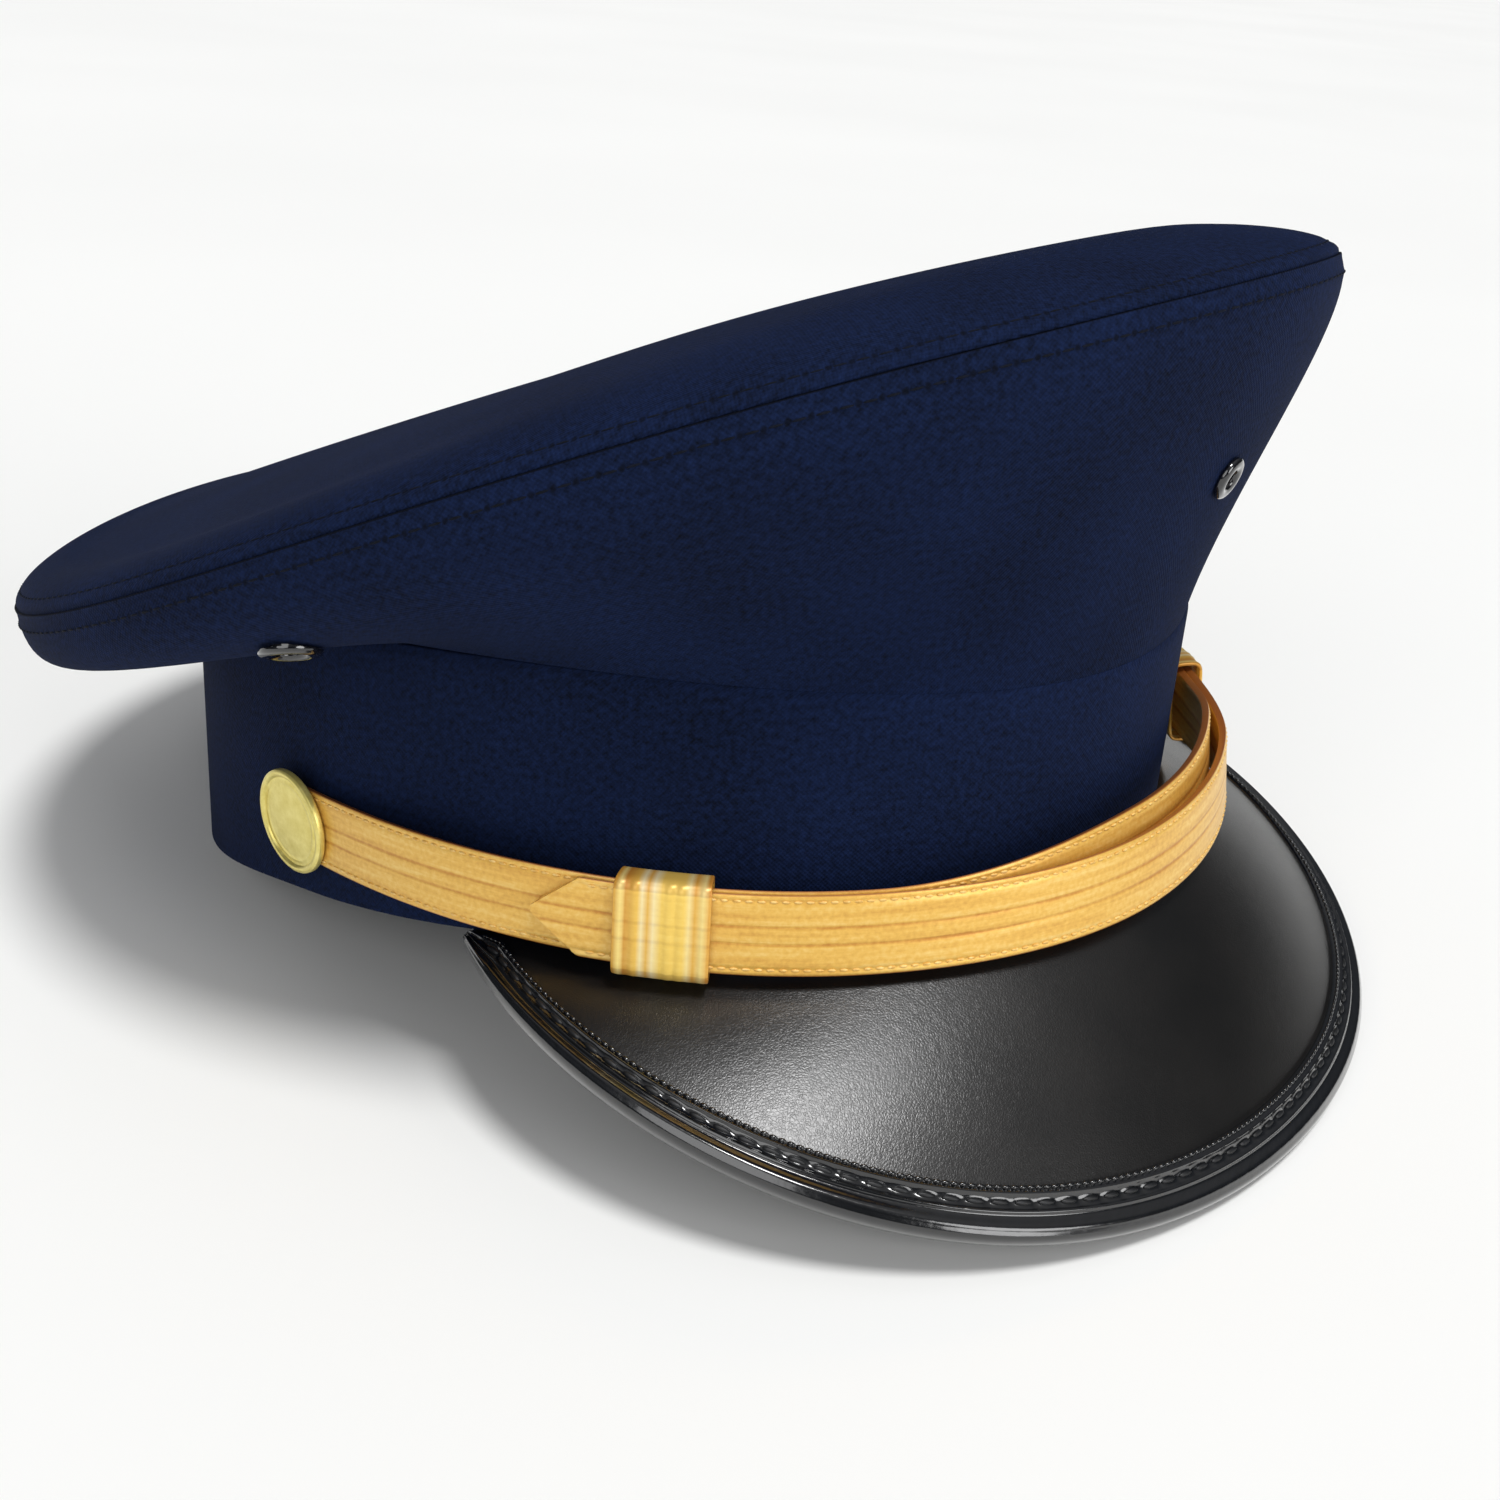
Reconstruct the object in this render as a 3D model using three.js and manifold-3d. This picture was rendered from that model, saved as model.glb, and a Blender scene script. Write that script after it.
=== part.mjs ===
// Peaked uniform cap: a cloth crown and band, a leather peak with a sewn edge binding, and a
// chin strap of two layers between two side buttons.
// Millimetres, +Z up. The front points along -Y and the wearer's right is -X.
// The cap is built with the band's lower edge in the plane z = 0, and the whole group is then
// tipped back until it rests on the peak's front edge and the back of the band.
import * as THREE from 'three';
import { mergeVertices } from 'three/addons/utils/BufferGeometryUtils.js';
import Module from 'manifold-3d';

const wasm = await Module();
wasm.setup();

const DEG = Math.PI / 180;
const UP = new THREE.Vector3(0, 0, 1);
const GAP = 0.3;                 // clearance between pieces that touch

// ---- driving sizes -------------------------------------------------------------------------

const BAND = {
  halfLength: 103.5,             // outer oval, front to back, at the lower edge
  halfWidth: 88.2,
  height: 44,
  frontDrop: 1.7,                // its top edge is this much lower at the front
  sideRise: 6.5,                 // and this much higher at the sides
  backDrop: 7.5,                 // its lower edge sinks this far round the back,
  dropStart: 98,                 // beginning and ending at these angles from the front
  dropEnd: 150,
  lean: 7.4,                     // the top edge stands this far forward of the lower edge
  wall: 3,
};

const CROWN = {
  halfLength: 131.5,             // oval of the top seam
  halfWidth: 119.6,
  centreY: -2.3,
  seamHeight: 70,
  seamTilt: 28.5,                // the seam climbs towards the front
  seamSaddle: 3.9,               // its ends stand above its sides by twice this
  seamWave: -2.4,                // and the climb is steepest half way along
  wall: 2,
  flareBack: 17,                 // how far the side wall runs out before it turns up
  flareFront: 7.5,
  startBack: -2.5,               // how far it climbs in that first stretch
  startFront: 24,
  roundBack: 21.5,               // depth of its rounded edge under the seam
  roundFront: 7,
  frontSwell: 5.2,               // how far that edge swells out past the seam at the front
  rollHeight: 6.8,               // rounded shoulder above the seam
  rollFall: 0.8,                 // lower than that at the front and higher at the back
  insetBack: 13,                 // how far in the shoulder reaches
  insetFront: 30,
  dome: 8.5,
};

const PEAK = {
  halfAngle: 77.5,               // its corners lie this far round the band from the front
  width: 59.3,                   // at the centre
  cornerPower: 3,                // how fully the outline swells between centre and corners
  slopeFront: 52,                // degrees below the band's lower plane
  slopeCorner: 10,
  forward: 0.16,                 // share of the sweep that runs straight ahead
  bulge: 2.4,
  sheet: 2.2,
  flange: 2.7,                   // inner margin, under the lower edge of the band
};

const BINDING = { width: 7.6, leather: 1, nose: 1.6 };

const STRAP = {
  width: 14,
  leather: 1.4,
  standOff: 7.3,                 // at the front, between band and strap
  seat: 0.5,                     // at the buttons
  buttonAngle: 98.2,
  buttonHeight: 15,
  frontHeight: 1.1,
  sag: 1.5,                      // it leaves the buttons level before it drops to the front
  sideLean: 3.75,                // the strap has slipped up on the left and down on the right
  endAngle: 102.2,
  tipAngle: 68.2,
  tipSpan: 4.4,                  // degrees over which a layer narrows to its tip
  lift: 3.6,                     // the inner layer stands this much higher across the front
  spread: 1.5,                   // and the two layers part by this much there
};

// The right keeper has been pushed further back than the left one.
const KEEPER = { right: -56.4, left: 42, length: 15, wall: 0.8, clearance: 0.3, corner: 0.8 };
const BUTTON = { radius: 9.7, thickness: 1.6, rim: 0.5, shank: 2, hole: 2.6 };
const BADGE_EYELET = { angle: 0, rise: 0.4, flange: 3.8, barrel: 2.3, bore: 1.5, lip: 1 };
const VENT_EYELET = { angle: 84, rise: 0.55, flange: 5, barrel: 3.4, bore: 2.4, lip: 1 };

const ROUND_STEPS = 64;          // stations round the crown and the band
const PEAK_STEPS = 36;
const STRAP_STEPS = 48;

// ---- small helpers -------------------------------------------------------------------------

const vec = (x, y, z) => new THREE.Vector3(x, y, z);
const mix = (a, b, t) => a + (b - a) * t;
const smooth = (low, high, value) => THREE.MathUtils.smoothstep(value, low, high);
const steps = (count, from, to) =>
  Array.from({ length: count + 1 }, (_, i) => mix(from, to, i / count));

// Point on an oval at an angle from the front, positive towards the wearer's left.
const ovalPoint = (halfWidth, halfLength, angle, centreY = 0, z = 0) =>
  vec(halfWidth * Math.sin(angle), centreY - halfLength * Math.cos(angle), z);

// Level direction square to that oval, pointing outwards.
const ovalNormal = (halfWidth, halfLength, angle) =>
  vec(Math.sin(angle) / halfWidth, -Math.cos(angle) / halfLength, 0).normalize();

// Closed body from a row of stations. Each station has an outer and an inner path with the
// same number of points. A round body joins its last station to its first; any other is
// closed at both ends. Triangles that shrink to a line or a point are left out.
function thickStrip(stations, round = false) {
  const count = stations[0].outer.length;
  const loops = stations.map(({ outer, inner }) => [...outer, ...[...inner].reverse()]);
  const points = loops.flat();
  const size = 2 * count;
  const triangles = [];
  const quad = (a, b, c, d) => triangles.push(a, b, c, a, c, d);
  const last = round ? loops.length : loops.length - 1;
  for (let i = 0; i < last; i += 1) {
    const here = i * size;
    const next = ((i + 1) % loops.length) * size;
    for (let j = 0; j < size; j += 1) {
      const k = (j + 1) % size;
      quad(here + j, next + j, next + k, here + k);
    }
  }
  if (!round) {
    const end = (loops.length - 1) * size;
    for (let j = 0; j < count - 1; j += 1) {
      const back = size - 1 - j;
      quad(j, j + 1, back - 1, back);
      quad(end + j + 1, end + j, end + back, end + back - 1);
    }
  }
  return closedGeometry(points, triangles);
}

// Geometry with shared corners merged, empty triangles dropped and its faces turned outwards.
function closedGeometry(points, triangles) {
  let geometry = new THREE.BufferGeometry();
  const numbers = points.flatMap((point) => point.toArray());
  geometry.setAttribute('position', new THREE.Float32BufferAttribute(numbers, 3));
  geometry.setIndex(triangles);
  geometry = mergeVertices(geometry, 1e-4);
  const index = [...geometry.index.array];
  const position = geometry.attributes.position;
  const kept = [];
  let volume = 0;
  for (let i = 0; i < index.length; i += 3) {
    const [a, b, c] = index.slice(i, i + 3);
    if (a === b || b === c || c === a) continue;
    kept.push(a, b, c);
    const [p, q, r] = [a, b, c].map((n) => new THREE.Vector3().fromBufferAttribute(position, n));
    volume += p.dot(q.cross(r));
  }
  geometry.setIndex(volume < 0 ? kept.reverse() : kept);
  return geometry;
}

// A mesh's geometry as a manifold solid, and a manifold solid as geometry.
function toSolid(geometry) {
  const plain = geometry.clone();
  plain.deleteAttribute('normal');
  plain.deleteAttribute('uv');
  const merged = mergeVertices(plain, 1e-4);
  return new wasm.Manifold(new wasm.Mesh({
    numProp: 3,
    vertProperties: new Float32Array(merged.attributes.position.array),
    triVerts: new Uint32Array(merged.index.array),
  }));
}

function toGeometry(solid) {
  const mesh = solid.getMesh();
  const geometry = new THREE.BufferGeometry();
  geometry.setAttribute('position', new THREE.Float32BufferAttribute(mesh.vertProperties, 3));
  geometry.setIndex(new THREE.Uint32BufferAttribute(mesh.triVerts, 1));
  return geometry;
}

// Places a geometry made about +Y so that +Y runs along a direction from a point.
function stand(geometry, point, direction) {
  const turn = new THREE.Quaternion().setFromUnitVectors(vec(0, 1, 0), direction);
  return geometry.clone().applyMatrix4(new THREE.Matrix4().compose(point, turn, vec(1, 1, 1)));
}

// Geometry with round holes bored along given lines.
function bored(geometry, holes) {
  let solid = toSolid(geometry);
  for (const { point, direction, radius, depth } of holes) {
    const drill = stand(new THREE.CylinderGeometry(radius, radius, depth, 20), point, direction);
    solid = solid.subtract(toSolid(drill));
  }
  return toGeometry(solid);
}

// ---- band ----------------------------------------------------------------------------------

const bandTop = (angle) =>
  BAND.height - BAND.frontDrop * Math.cos(angle) - BAND.sideRise * Math.cos(2 * angle);

const bandPoint = (angle, z, inset = 0) =>
  ovalPoint(BAND.halfWidth - inset, BAND.halfLength - inset, angle, -BAND.lean * z / BAND.height, z);

const bandFoot = (angle) => -BAND.backDrop
  * smooth(-Math.cos(BAND.dropStart * DEG), -Math.cos(BAND.dropEnd * DEG), -Math.cos(angle));

function bandGeometry() {
  const stations = steps(ROUND_STEPS, 0, 2 * Math.PI).slice(0, -1).map((angle) => {
    const heights = [bandFoot(angle), bandTop(angle) / 2, bandTop(angle)];
    return {
      outer: heights.map((z) => bandPoint(angle, z)),
      inner: heights.map((z) => bandPoint(angle, z, BAND.wall)),
    };
  });
  return thickStrip(stations, true);
}

// ---- crown ---------------------------------------------------------------------------------

const seamZ = (angle) => CROWN.seamHeight + CROWN.seamTilt * Math.cos(angle)
  + CROWN.seamSaddle * Math.cos(2 * angle) + CROWN.seamWave * Math.cos(3 * angle);

// 1 at the front, 0 at the back.
const towardsFront = (angle) => (1 + Math.cos(angle)) / 2;

const rollInset = (angle) =>
  mix(CROWN.insetBack, CROWN.insetFront, towardsFront(angle) ** 1.6);

const seamPoint = (angle, inset = 0) =>
  ovalPoint(CROWN.halfWidth - inset, CROWN.halfLength - inset, angle, CROWN.centreY, seamZ(angle));

// Side wall from the band's top edge (rise 0) to the top seam (rise 1). At the front it stands
// and flares; round the sides and back it runs outwards and rolls under before it climbs.
function wallPoint(angle, rise) {
  const front = towardsFront(angle);
  const foot = bandPoint(angle, bandTop(angle) + GAP, GAP);
  const head = seamPoint(angle).addScaledVector(UP, -GAP / 2);
  const outwards = ovalNormal(CROWN.halfWidth, CROWN.halfLength, angle);
  const fromFoot = foot.clone()
    .addScaledVector(outwards, mix(CROWN.flareBack, CROWN.flareFront, front))
    .addScaledVector(UP, mix(CROWN.startBack, CROWN.startFront, front ** 2));
  const belowHead = head.clone()
    .addScaledVector(outwards, CROWN.frontSwell * front ** 4)
    .addScaledVector(UP, -mix(CROWN.roundBack, CROWN.roundFront, front ** 4));
  return new THREE.CubicBezierCurve3(foot, fromFoot, belowHead, head).getPoint(rise);
}

function wallNormal(angle, rise) {
  const d = 0.01;
  const low = Math.max(rise - d, 0);
  const high = Math.min(rise + d, 1);
  const round = wallPoint(angle + d, rise).sub(wallPoint(angle - d, rise));
  return round.cross(wallPoint(angle, high).sub(wallPoint(angle, low))).normalize();
}

function crownSideGeometry() {
  const rises = [0, 0.12, 0.26, 0.42, 0.57, 0.7, 0.81, 0.9, 0.96, 1];
  const stations = steps(ROUND_STEPS, 0, 2 * Math.PI).slice(0, -1).map((angle) => {
    const outer = rises.map((rise) => wallPoint(angle, rise));
    const inner = outer.map((point, i) =>
      point.clone().addScaledVector(wallNormal(angle, rises[i]), -CROWN.wall));
    inner[0].z = Math.max(inner[0].z, outer[0].z);
    inner[inner.length - 1].z = outer[outer.length - 1].z;
    return { outer, inner };
  });
  return thickStrip(stations, true);
}

// Top panel: a rounded shoulder that rises from the seam, then a low dome to the middle.
function topPoint(angle, shoulder, dome, inset) {
  const roll = CROWN.rollHeight - CROWN.rollFall * (dome ?? 1) * Math.cos(angle) - inset;
  if (dome === null) {
    const edge = seamPoint(angle, inset + (rollInset(angle) - inset) * shoulder);
    return edge.addScaledVector(UP, GAP / 2 + roll * Math.sqrt(1 - (1 - shoulder) ** 2));
  }
  const point = ovalPoint(
    (CROWN.halfWidth - rollInset(angle)) * dome,
    (CROWN.halfLength - rollInset(angle)) * dome,
    angle,
    CROWN.centreY,
  );
  const waves = CROWN.seamSaddle * Math.cos(2 * angle) + CROWN.seamWave * Math.cos(3 * angle);
  point.z = CROWN.seamHeight + CROWN.seamTilt * dome * Math.cos(angle) + waves * dome * dome
    + GAP / 2 + roll + CROWN.dome * (1 - dome * dome);
  return point;
}

function crownTopGeometry() {
  const shoulders = [0, 0.05, 0.17, 0.36, 0.62, 1];
  const domes = [0.8, 0.5, 0];
  const path = (angle, inset) => [
    ...shoulders.map((shoulder) => topPoint(angle, shoulder, null, inset)),
    ...domes.map((dome) => topPoint(angle, 1, dome, inset)),
  ];
  const stations = steps(ROUND_STEPS, 0, 2 * Math.PI).slice(0, -1).map((angle) => ({
    outer: path(angle, 0),
    inner: path(angle, CROWN.wall),
  }));
  return thickStrip(stations, true);
}

// ---- peak and its binding ------------------------------------------------------------------

const peakWidth = (across) => PEAK.width * (1 - Math.abs(across) ** PEAK.cornerPower);

// Top surface of the peak. across runs from -1 at the right corner to 1 at the left corner,
// and down from 0 under the band to 1 at the free edge.
function peakPoint(across, down) {
  const angle = across * PEAK.halfAngle * DEG;
  const root = bandPoint(angle, 0);
  const sweep = ovalNormal(BAND.halfWidth, BAND.halfLength, angle)
    .multiplyScalar(1 - PEAK.forward)
    .add(vec(0, -PEAK.forward, 0))
    .normalize();
  const slope = mix(PEAK.slopeFront, PEAK.slopeCorner, across * across) * DEG;
  const width = peakWidth(across);
  const swell = PEAK.bulge * Math.sin(Math.PI * down) * width / PEAK.width;
  return root.addScaledVector(UP, -GAP)
    .addScaledVector(sweep, width * down * Math.cos(slope) + swell * Math.sin(slope))
    .addScaledVector(UP, -width * down * Math.sin(slope) + swell * Math.cos(slope));
}

function peakNormal(across, down) {
  const d = 0.01;
  const low = Math.max(down - d, 0);
  const high = Math.min(down + d, 1);
  const along = peakPoint(across + d, down).sub(peakPoint(across - d, down));
  return peakPoint(across, high).sub(peakPoint(across, low)).cross(along).normalize();
}

const PEAK_END = 0.985;          // the sheet and binding stop just short of the corners
const peakStations = steps(PEAK_STEPS, -PEAK_END, PEAK_END);
const bindingWidth = (across) => Math.min(BINDING.width, 0.7 * peakWidth(across));
const bindingStart = (across) => 1 - bindingWidth(across) / peakWidth(across);

function peakGeometry() {
  const stations = peakStations.map((across) => {
    const angle = across * PEAK.halfAngle * DEG;
    const start = bindingStart(across);
    const downs = [0.02, start * 0.25, start * 0.5, start * 0.75, start, (start + 1) / 2, 1];
    const margin = bandPoint(angle, -GAP, PEAK.flange);
    const top = downs.map((down) => peakPoint(across, down));
    const under = top.map((point, i) =>
      point.clone().addScaledVector(peakNormal(across, downs[i]), -PEAK.sheet));
    return {
      outer: [margin, ...top],
      inner: [margin.clone().addScaledVector(UP, -PEAK.sheet), ...under],
    };
  });
  return thickStrip(stations);
}

// Leather folded over the free edge of the peak: a lip on top, a round nose and a lip below.
function bindingGeometry() {
  const stations = peakStations.map((across) => {
    const start = bindingStart(across);
    const lips = [start, (start + 1) / 2, 1];
    const near = GAP;
    const far = GAP + BINDING.leather;
    const above = (down, height) =>
      peakPoint(across, down).addScaledVector(peakNormal(across, down), height);
    const edgeNormal = peakNormal(across, 1);
    const outwards = peakPoint(across, 1).sub(peakPoint(across, 0.98)).normalize();
    const middle = peakPoint(across, 1).addScaledVector(edgeNormal, -PEAK.sheet / 2);
    const nose = (reach, lift) => middle.clone()
      .addScaledVector(outwards, reach)
      .addScaledVector(edgeNormal, lift);
    const half = PEAK.sheet / 2 + far;
    const inside = PEAK.sheet / 2 + near;
    return {
      outer: [
        ...lips.map((down) => above(down, far)),
        nose(BINDING.nose * 0.75, half * 0.66),
        nose(BINDING.nose, 0),
        nose(BINDING.nose * 0.75, -half * 0.66),
        ...[...lips].reverse().map((down) => above(down, -PEAK.sheet - far)),
      ],
      inner: [
        ...lips.map((down) => above(down, near)),
        nose(near, inside * 0.66),
        nose(near + 0.1, 0),
        nose(near, -inside * 0.66),
        ...[...lips].reverse().map((down) => above(down, -PEAK.sheet - near)),
      ],
    };
  });
  return thickStrip(stations);
}

// ---- chin strap ----------------------------------------------------------------------------

// Share of the way from the buttons (0) to the front (1).
const frontShare = (angle) => THREE.MathUtils.clamp(
  (Math.cos(angle) - Math.cos(STRAP.buttonAngle * DEG)) / (1 - Math.cos(STRAP.buttonAngle * DEG)),
  0,
  1,
);

// Middle line of the strap's inner face.
function strapLine(angle) {
  const share = frontShare(angle);
  const away = STRAP.seat + STRAP.standOff * Math.sin(share * Math.PI / 2);
  const z = mix(STRAP.buttonHeight, STRAP.frontHeight, share ** STRAP.sag)
    + STRAP.sideLean * Math.sin(angle) * share;
  return bandPoint(angle, z, -away);
}

// The strap's directions at an angle: along it, across its width and out of its face.
function strapFrame(angle) {
  const d = 0.02;
  const along = strapLine(angle + d).sub(strapLine(angle - d)).normalize();
  const across = UP.clone().addScaledVector(along, -UP.dot(along)).normalize();
  return { point: strapLine(angle), along, across, out: along.clone().cross(across).normalize() };
}

function strapPoint(angle, out, across) {
  const frame = strapFrame(angle);
  return frame.point.addScaledVector(frame.out, out).addScaledVector(frame.across, across);
}

// How far the inner layer has risen, and how far the layers have parted, across the front.
const parting = (degrees) => smooth(-38, -6, degrees) * (1 - smooth(20, 37, degrees));
const innerLift = (degrees) => STRAP.lift * parting(degrees);

// The outer layer rides on the inner one, and comes down to the band past its tip.
const outerRide = (degrees) =>
  (STRAP.leather + GAP) * (1 - smooth(71, 88, degrees)) + STRAP.spread * parting(degrees);

// One layer from its button end to its pointed tip. side is -1 for the layer that starts at
// the right button and 1 for the one from the left button.
function strapGeometry(side, ride, lift) {
  const tip = -side * STRAP.tipAngle;
  const end = side * STRAP.endAngle;
  const taper = STRAP.tipSpan;
  const stops = [...steps(STRAP_STEPS, end, tip + side * taper), tip + side * taper / 2, tip];
  const stations = stops.map((degrees) => {
    const fromTip = Math.abs(degrees - tip);
    const fromEnd = Math.abs(degrees - end);
    const half = STRAP.width / 2
      * Math.min(1, mix(0.12, 1, fromTip / taper), mix(0.72, 1, fromEnd / 2));
    const rows = [-half, half];
    const base = ride(degrees);
    const raise = lift(degrees);
    return {
      outer: rows.map((row) => strapPoint(degrees * DEG, base + STRAP.leather, row + raise)),
      inner: rows.map((row) => strapPoint(degrees * DEG, base, row + raise)),
    };
  });
  const button = strapFrame(side * STRAP.buttonAngle * DEG);
  return bored(thickStrip(stations), [{
    point: button.point.addScaledVector(button.out, STRAP.leather / 2),
    direction: button.out,
    radius: BUTTON.hole,
    depth: 4 * STRAP.leather,
  }]);
}

// Leather loop round both layers.
function keeperGeometry(degrees) {
  const centre = degrees * DEG;
  const d = 0.02;
  const perRadian = strapLine(centre + d).distanceTo(strapLine(centre - d)) / (2 * d);
  const reach = KEEPER.length / 2 / perRadian;
  const spans = [centre - reach, centre, centre + reach];
  const loop = (grow) => {
    const low = -KEEPER.clearance - grow;
    const high = 2 * STRAP.leather + GAP + KEEPER.clearance + grow;
    const half = STRAP.width / 2 + KEEPER.clearance + grow;
    const c = grow > 0 ? KEEPER.corner : 0.2;
    return [
      [low, -half + c], [low, half - c], [low + c, half], [high - c, half],
      [high, half - c], [high, -half + c], [high - c, -half], [low + c, -half],
    ];
  };
  const outside = loop(KEEPER.wall);
  const inside = loop(0);
  const stations = outside.map((_, i) => ({
    outer: spans.map((angle) => strapPoint(angle, ...outside[i])),
    inner: spans.map((angle) => strapPoint(angle, ...inside[i])),
  }));
  return thickStrip(stations, true);
}

// ---- buttons and eyelets -------------------------------------------------------------------

const profile = (pairs) => pairs.map(([r, h]) => new THREE.Vector2(r, h));

// Flat metal button with a raised rim and a short shank. Height 0 is the strap's inner face.
function buttonGeometry() {
  const back = STRAP.leather + GAP;
  const face = back + BUTTON.thickness - BUTTON.rim;
  const { radius: r, rim, shank } = BUTTON;
  return new THREE.LatheGeometry(profile([
    [0, GAP - STRAP.seat], [shank, GAP - STRAP.seat], [shank, back], [r - 0.5, back],
    [r, back + 0.5], [r, face + rim - 0.4], [r - 0.5, face + rim], [r - 1.2, face + rim],
    [r - 1.6, face], [0, face + 0.3],
  ]), 32);
}

// Metal eyelet: a rounded flange outside and a barrel through the wall. Height 0 is the
// wall's outer face.
function eyeletGeometry({ flange, barrel, bore, lip }) {
  const under = GAP;
  return new THREE.LatheGeometry(profile([
    [bore, -CROWN.wall - 0.6], [barrel, -CROWN.wall - 0.6], [barrel, under], [flange, under],
    [flange, under + lip * 0.45], [mix(bore, flange, 0.55), under + lip],
    [bore + 0.25, under + lip * 0.8], [bore, under + lip * 0.2], [bore, -CROWN.wall - 0.6],
  ]), 24);
}

// ---- assembly ------------------------------------------------------------------------------

const paint = (color, roughness, metalness = 0) =>
  new THREE.MeshStandardMaterial({ color, roughness, metalness });

const navyCloth = paint(0x1b2744, 0.9);
const blackLeather = paint(0x1a1817, 0.4);
const glossBinding = paint(0x101114, 0.2);
const goldStrap = paint(0xe0b050, 0.5, 0.1);
const goldMetal = paint(0xdccf78, 0.3, 1);
const blackMetal = paint(0x0e0e10, 0.25, 0.8);

const cap = new THREE.Group();
function add(name, geometry, material) {
  const mesh = new THREE.Mesh(geometry, material);
  mesh.name = name;
  cap.add(mesh);
  return mesh;
}

const eyelets = [
  { name: 'badge_eyelet', size: BADGE_EYELET, angle: BADGE_EYELET.angle * DEG },
  { name: 'vent_eyelet_right', size: VENT_EYELET, angle: -VENT_EYELET.angle * DEG },
  { name: 'vent_eyelet_left', size: VENT_EYELET, angle: VENT_EYELET.angle * DEG },
].map((eyelet) => ({
  ...eyelet,
  point: wallPoint(eyelet.angle, eyelet.size.rise),
  direction: wallNormal(eyelet.angle, eyelet.size.rise),
}));

const band = add('band', bandGeometry(), navyCloth);
add('crown_side', bored(crownSideGeometry(), eyelets.map(({ point, direction, size }) => ({
  point, direction, radius: size.barrel + GAP, depth: 6 * CROWN.wall,
}))), navyCloth);
add('crown_top', crownTopGeometry(), navyCloth);
add('peak', peakGeometry(), blackLeather);
const binding = add('peak_binding', bindingGeometry(), glossBinding);
add('strap_inner', strapGeometry(-1, () => 0, innerLift), goldStrap);
add('strap_outer', strapGeometry(1, outerRide, () => 0), goldStrap);
for (const [name, side] of [['right', -1], ['left', 1]]) {
  add(`keeper_${name}`, keeperGeometry(KEEPER[name]), goldStrap);
  const { point, out } = strapFrame(side * STRAP.buttonAngle * DEG);
  add(`button_${name}`, stand(buttonGeometry(), point, out), goldMetal);
}
for (const { name, size, point, direction } of eyelets) {
  add(name, stand(eyeletGeometry(size), point, direction), blackMetal);
}

// ---- resting attitude ----------------------------------------------------------------------

const lowest = (mesh, tilt) => {
  const position = mesh.geometry.attributes.position;
  let low = Infinity;
  for (let i = 0; i < position.count; i += 1) {
    low = Math.min(low, position.getZ(i) * Math.cos(tilt) - position.getY(i) * Math.sin(tilt));
  }
  return low;
};

// The tilt at which the binding and the band are equally low, found by halving.
let flatTilt = 0;
let steepTilt = 30 * DEG;
for (let i = 0; i < 40; i += 1) {
  const tilt = (flatTilt + steepTilt) / 2;
  if (lowest(binding, tilt) < lowest(band, tilt)) flatTilt = tilt;
  else steepTilt = tilt;
}
cap.rotation.x = -flatTilt;
cap.position.z = -lowest(band, flatTilt);

const model = new THREE.Group();
model.add(cap);
model.updateMatrixWorld(true);
const box = new THREE.Box3().setFromObject(model, true);
cap.position.y = -(box.min.y + box.max.y) / 2;

export default model;
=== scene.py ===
# %% [markdown]
# # A peaked uniform cap
# A peaked cap is a stiff cloth crown sewn to a tall cloth band, with a leather peak at the front
# and a gold strap held between two side buttons. The frame already knows the place of every
# piece, so it is loaded first.

# %% Load the frame
from math import radians

import bpy
import numpy as np
from mathutils import Matrix, Vector


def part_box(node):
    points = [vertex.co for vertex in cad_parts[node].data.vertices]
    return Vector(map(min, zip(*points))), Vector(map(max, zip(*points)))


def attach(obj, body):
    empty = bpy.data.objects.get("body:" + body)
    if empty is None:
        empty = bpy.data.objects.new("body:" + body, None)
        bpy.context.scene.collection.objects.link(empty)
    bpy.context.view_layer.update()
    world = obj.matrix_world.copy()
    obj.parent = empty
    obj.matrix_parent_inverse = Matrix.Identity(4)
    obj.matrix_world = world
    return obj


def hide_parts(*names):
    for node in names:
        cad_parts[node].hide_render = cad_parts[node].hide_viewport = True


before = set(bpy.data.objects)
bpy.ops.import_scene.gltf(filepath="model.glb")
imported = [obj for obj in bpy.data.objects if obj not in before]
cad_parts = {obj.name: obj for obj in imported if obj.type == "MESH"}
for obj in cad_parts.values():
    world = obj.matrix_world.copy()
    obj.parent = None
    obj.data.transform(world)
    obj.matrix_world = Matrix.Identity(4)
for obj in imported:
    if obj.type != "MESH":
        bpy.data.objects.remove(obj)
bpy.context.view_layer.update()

# %% [markdown]
# ## Numbers, points and directions
# Every panel of the cap curves two ways at once. Such a panel could be bent or sculpted out of a
# primitive, but its size would then be luck. Here each one is a function of two numbers, such as
# the angle round the head and the way up the wall, and a flat grid is carried onto it, so that
# every size can be read. The functions work on whole arrays, so one call gives a whole panel.
# Sizes are in millimetres. Angles go round the head from the front, positive towards the
# wearer's left.

# %% Helpers for numbers
MM = 0.001


def mix(a, b, t):
    """Goes from a to b as t goes from 0 to 1."""
    return a + (b - a) * t


def smooth(low, high, value):
    """Climbs softly from 0 at low to 1 at high."""
    t = np.clip((value - low) / (high - low), 0, 1)
    return t * t * (3 - 2 * t)


def hump(distance, width):
    """A rounded ridge, 1 high at its middle."""
    return np.exp(-((distance / width) ** 2))


print("a hump one width off its middle is", round(float(hump(1.0, 1.0)), 2), "high")

# %% Helpers for points and directions
UP = np.array([0.0, 0.0, 1.0])


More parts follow.
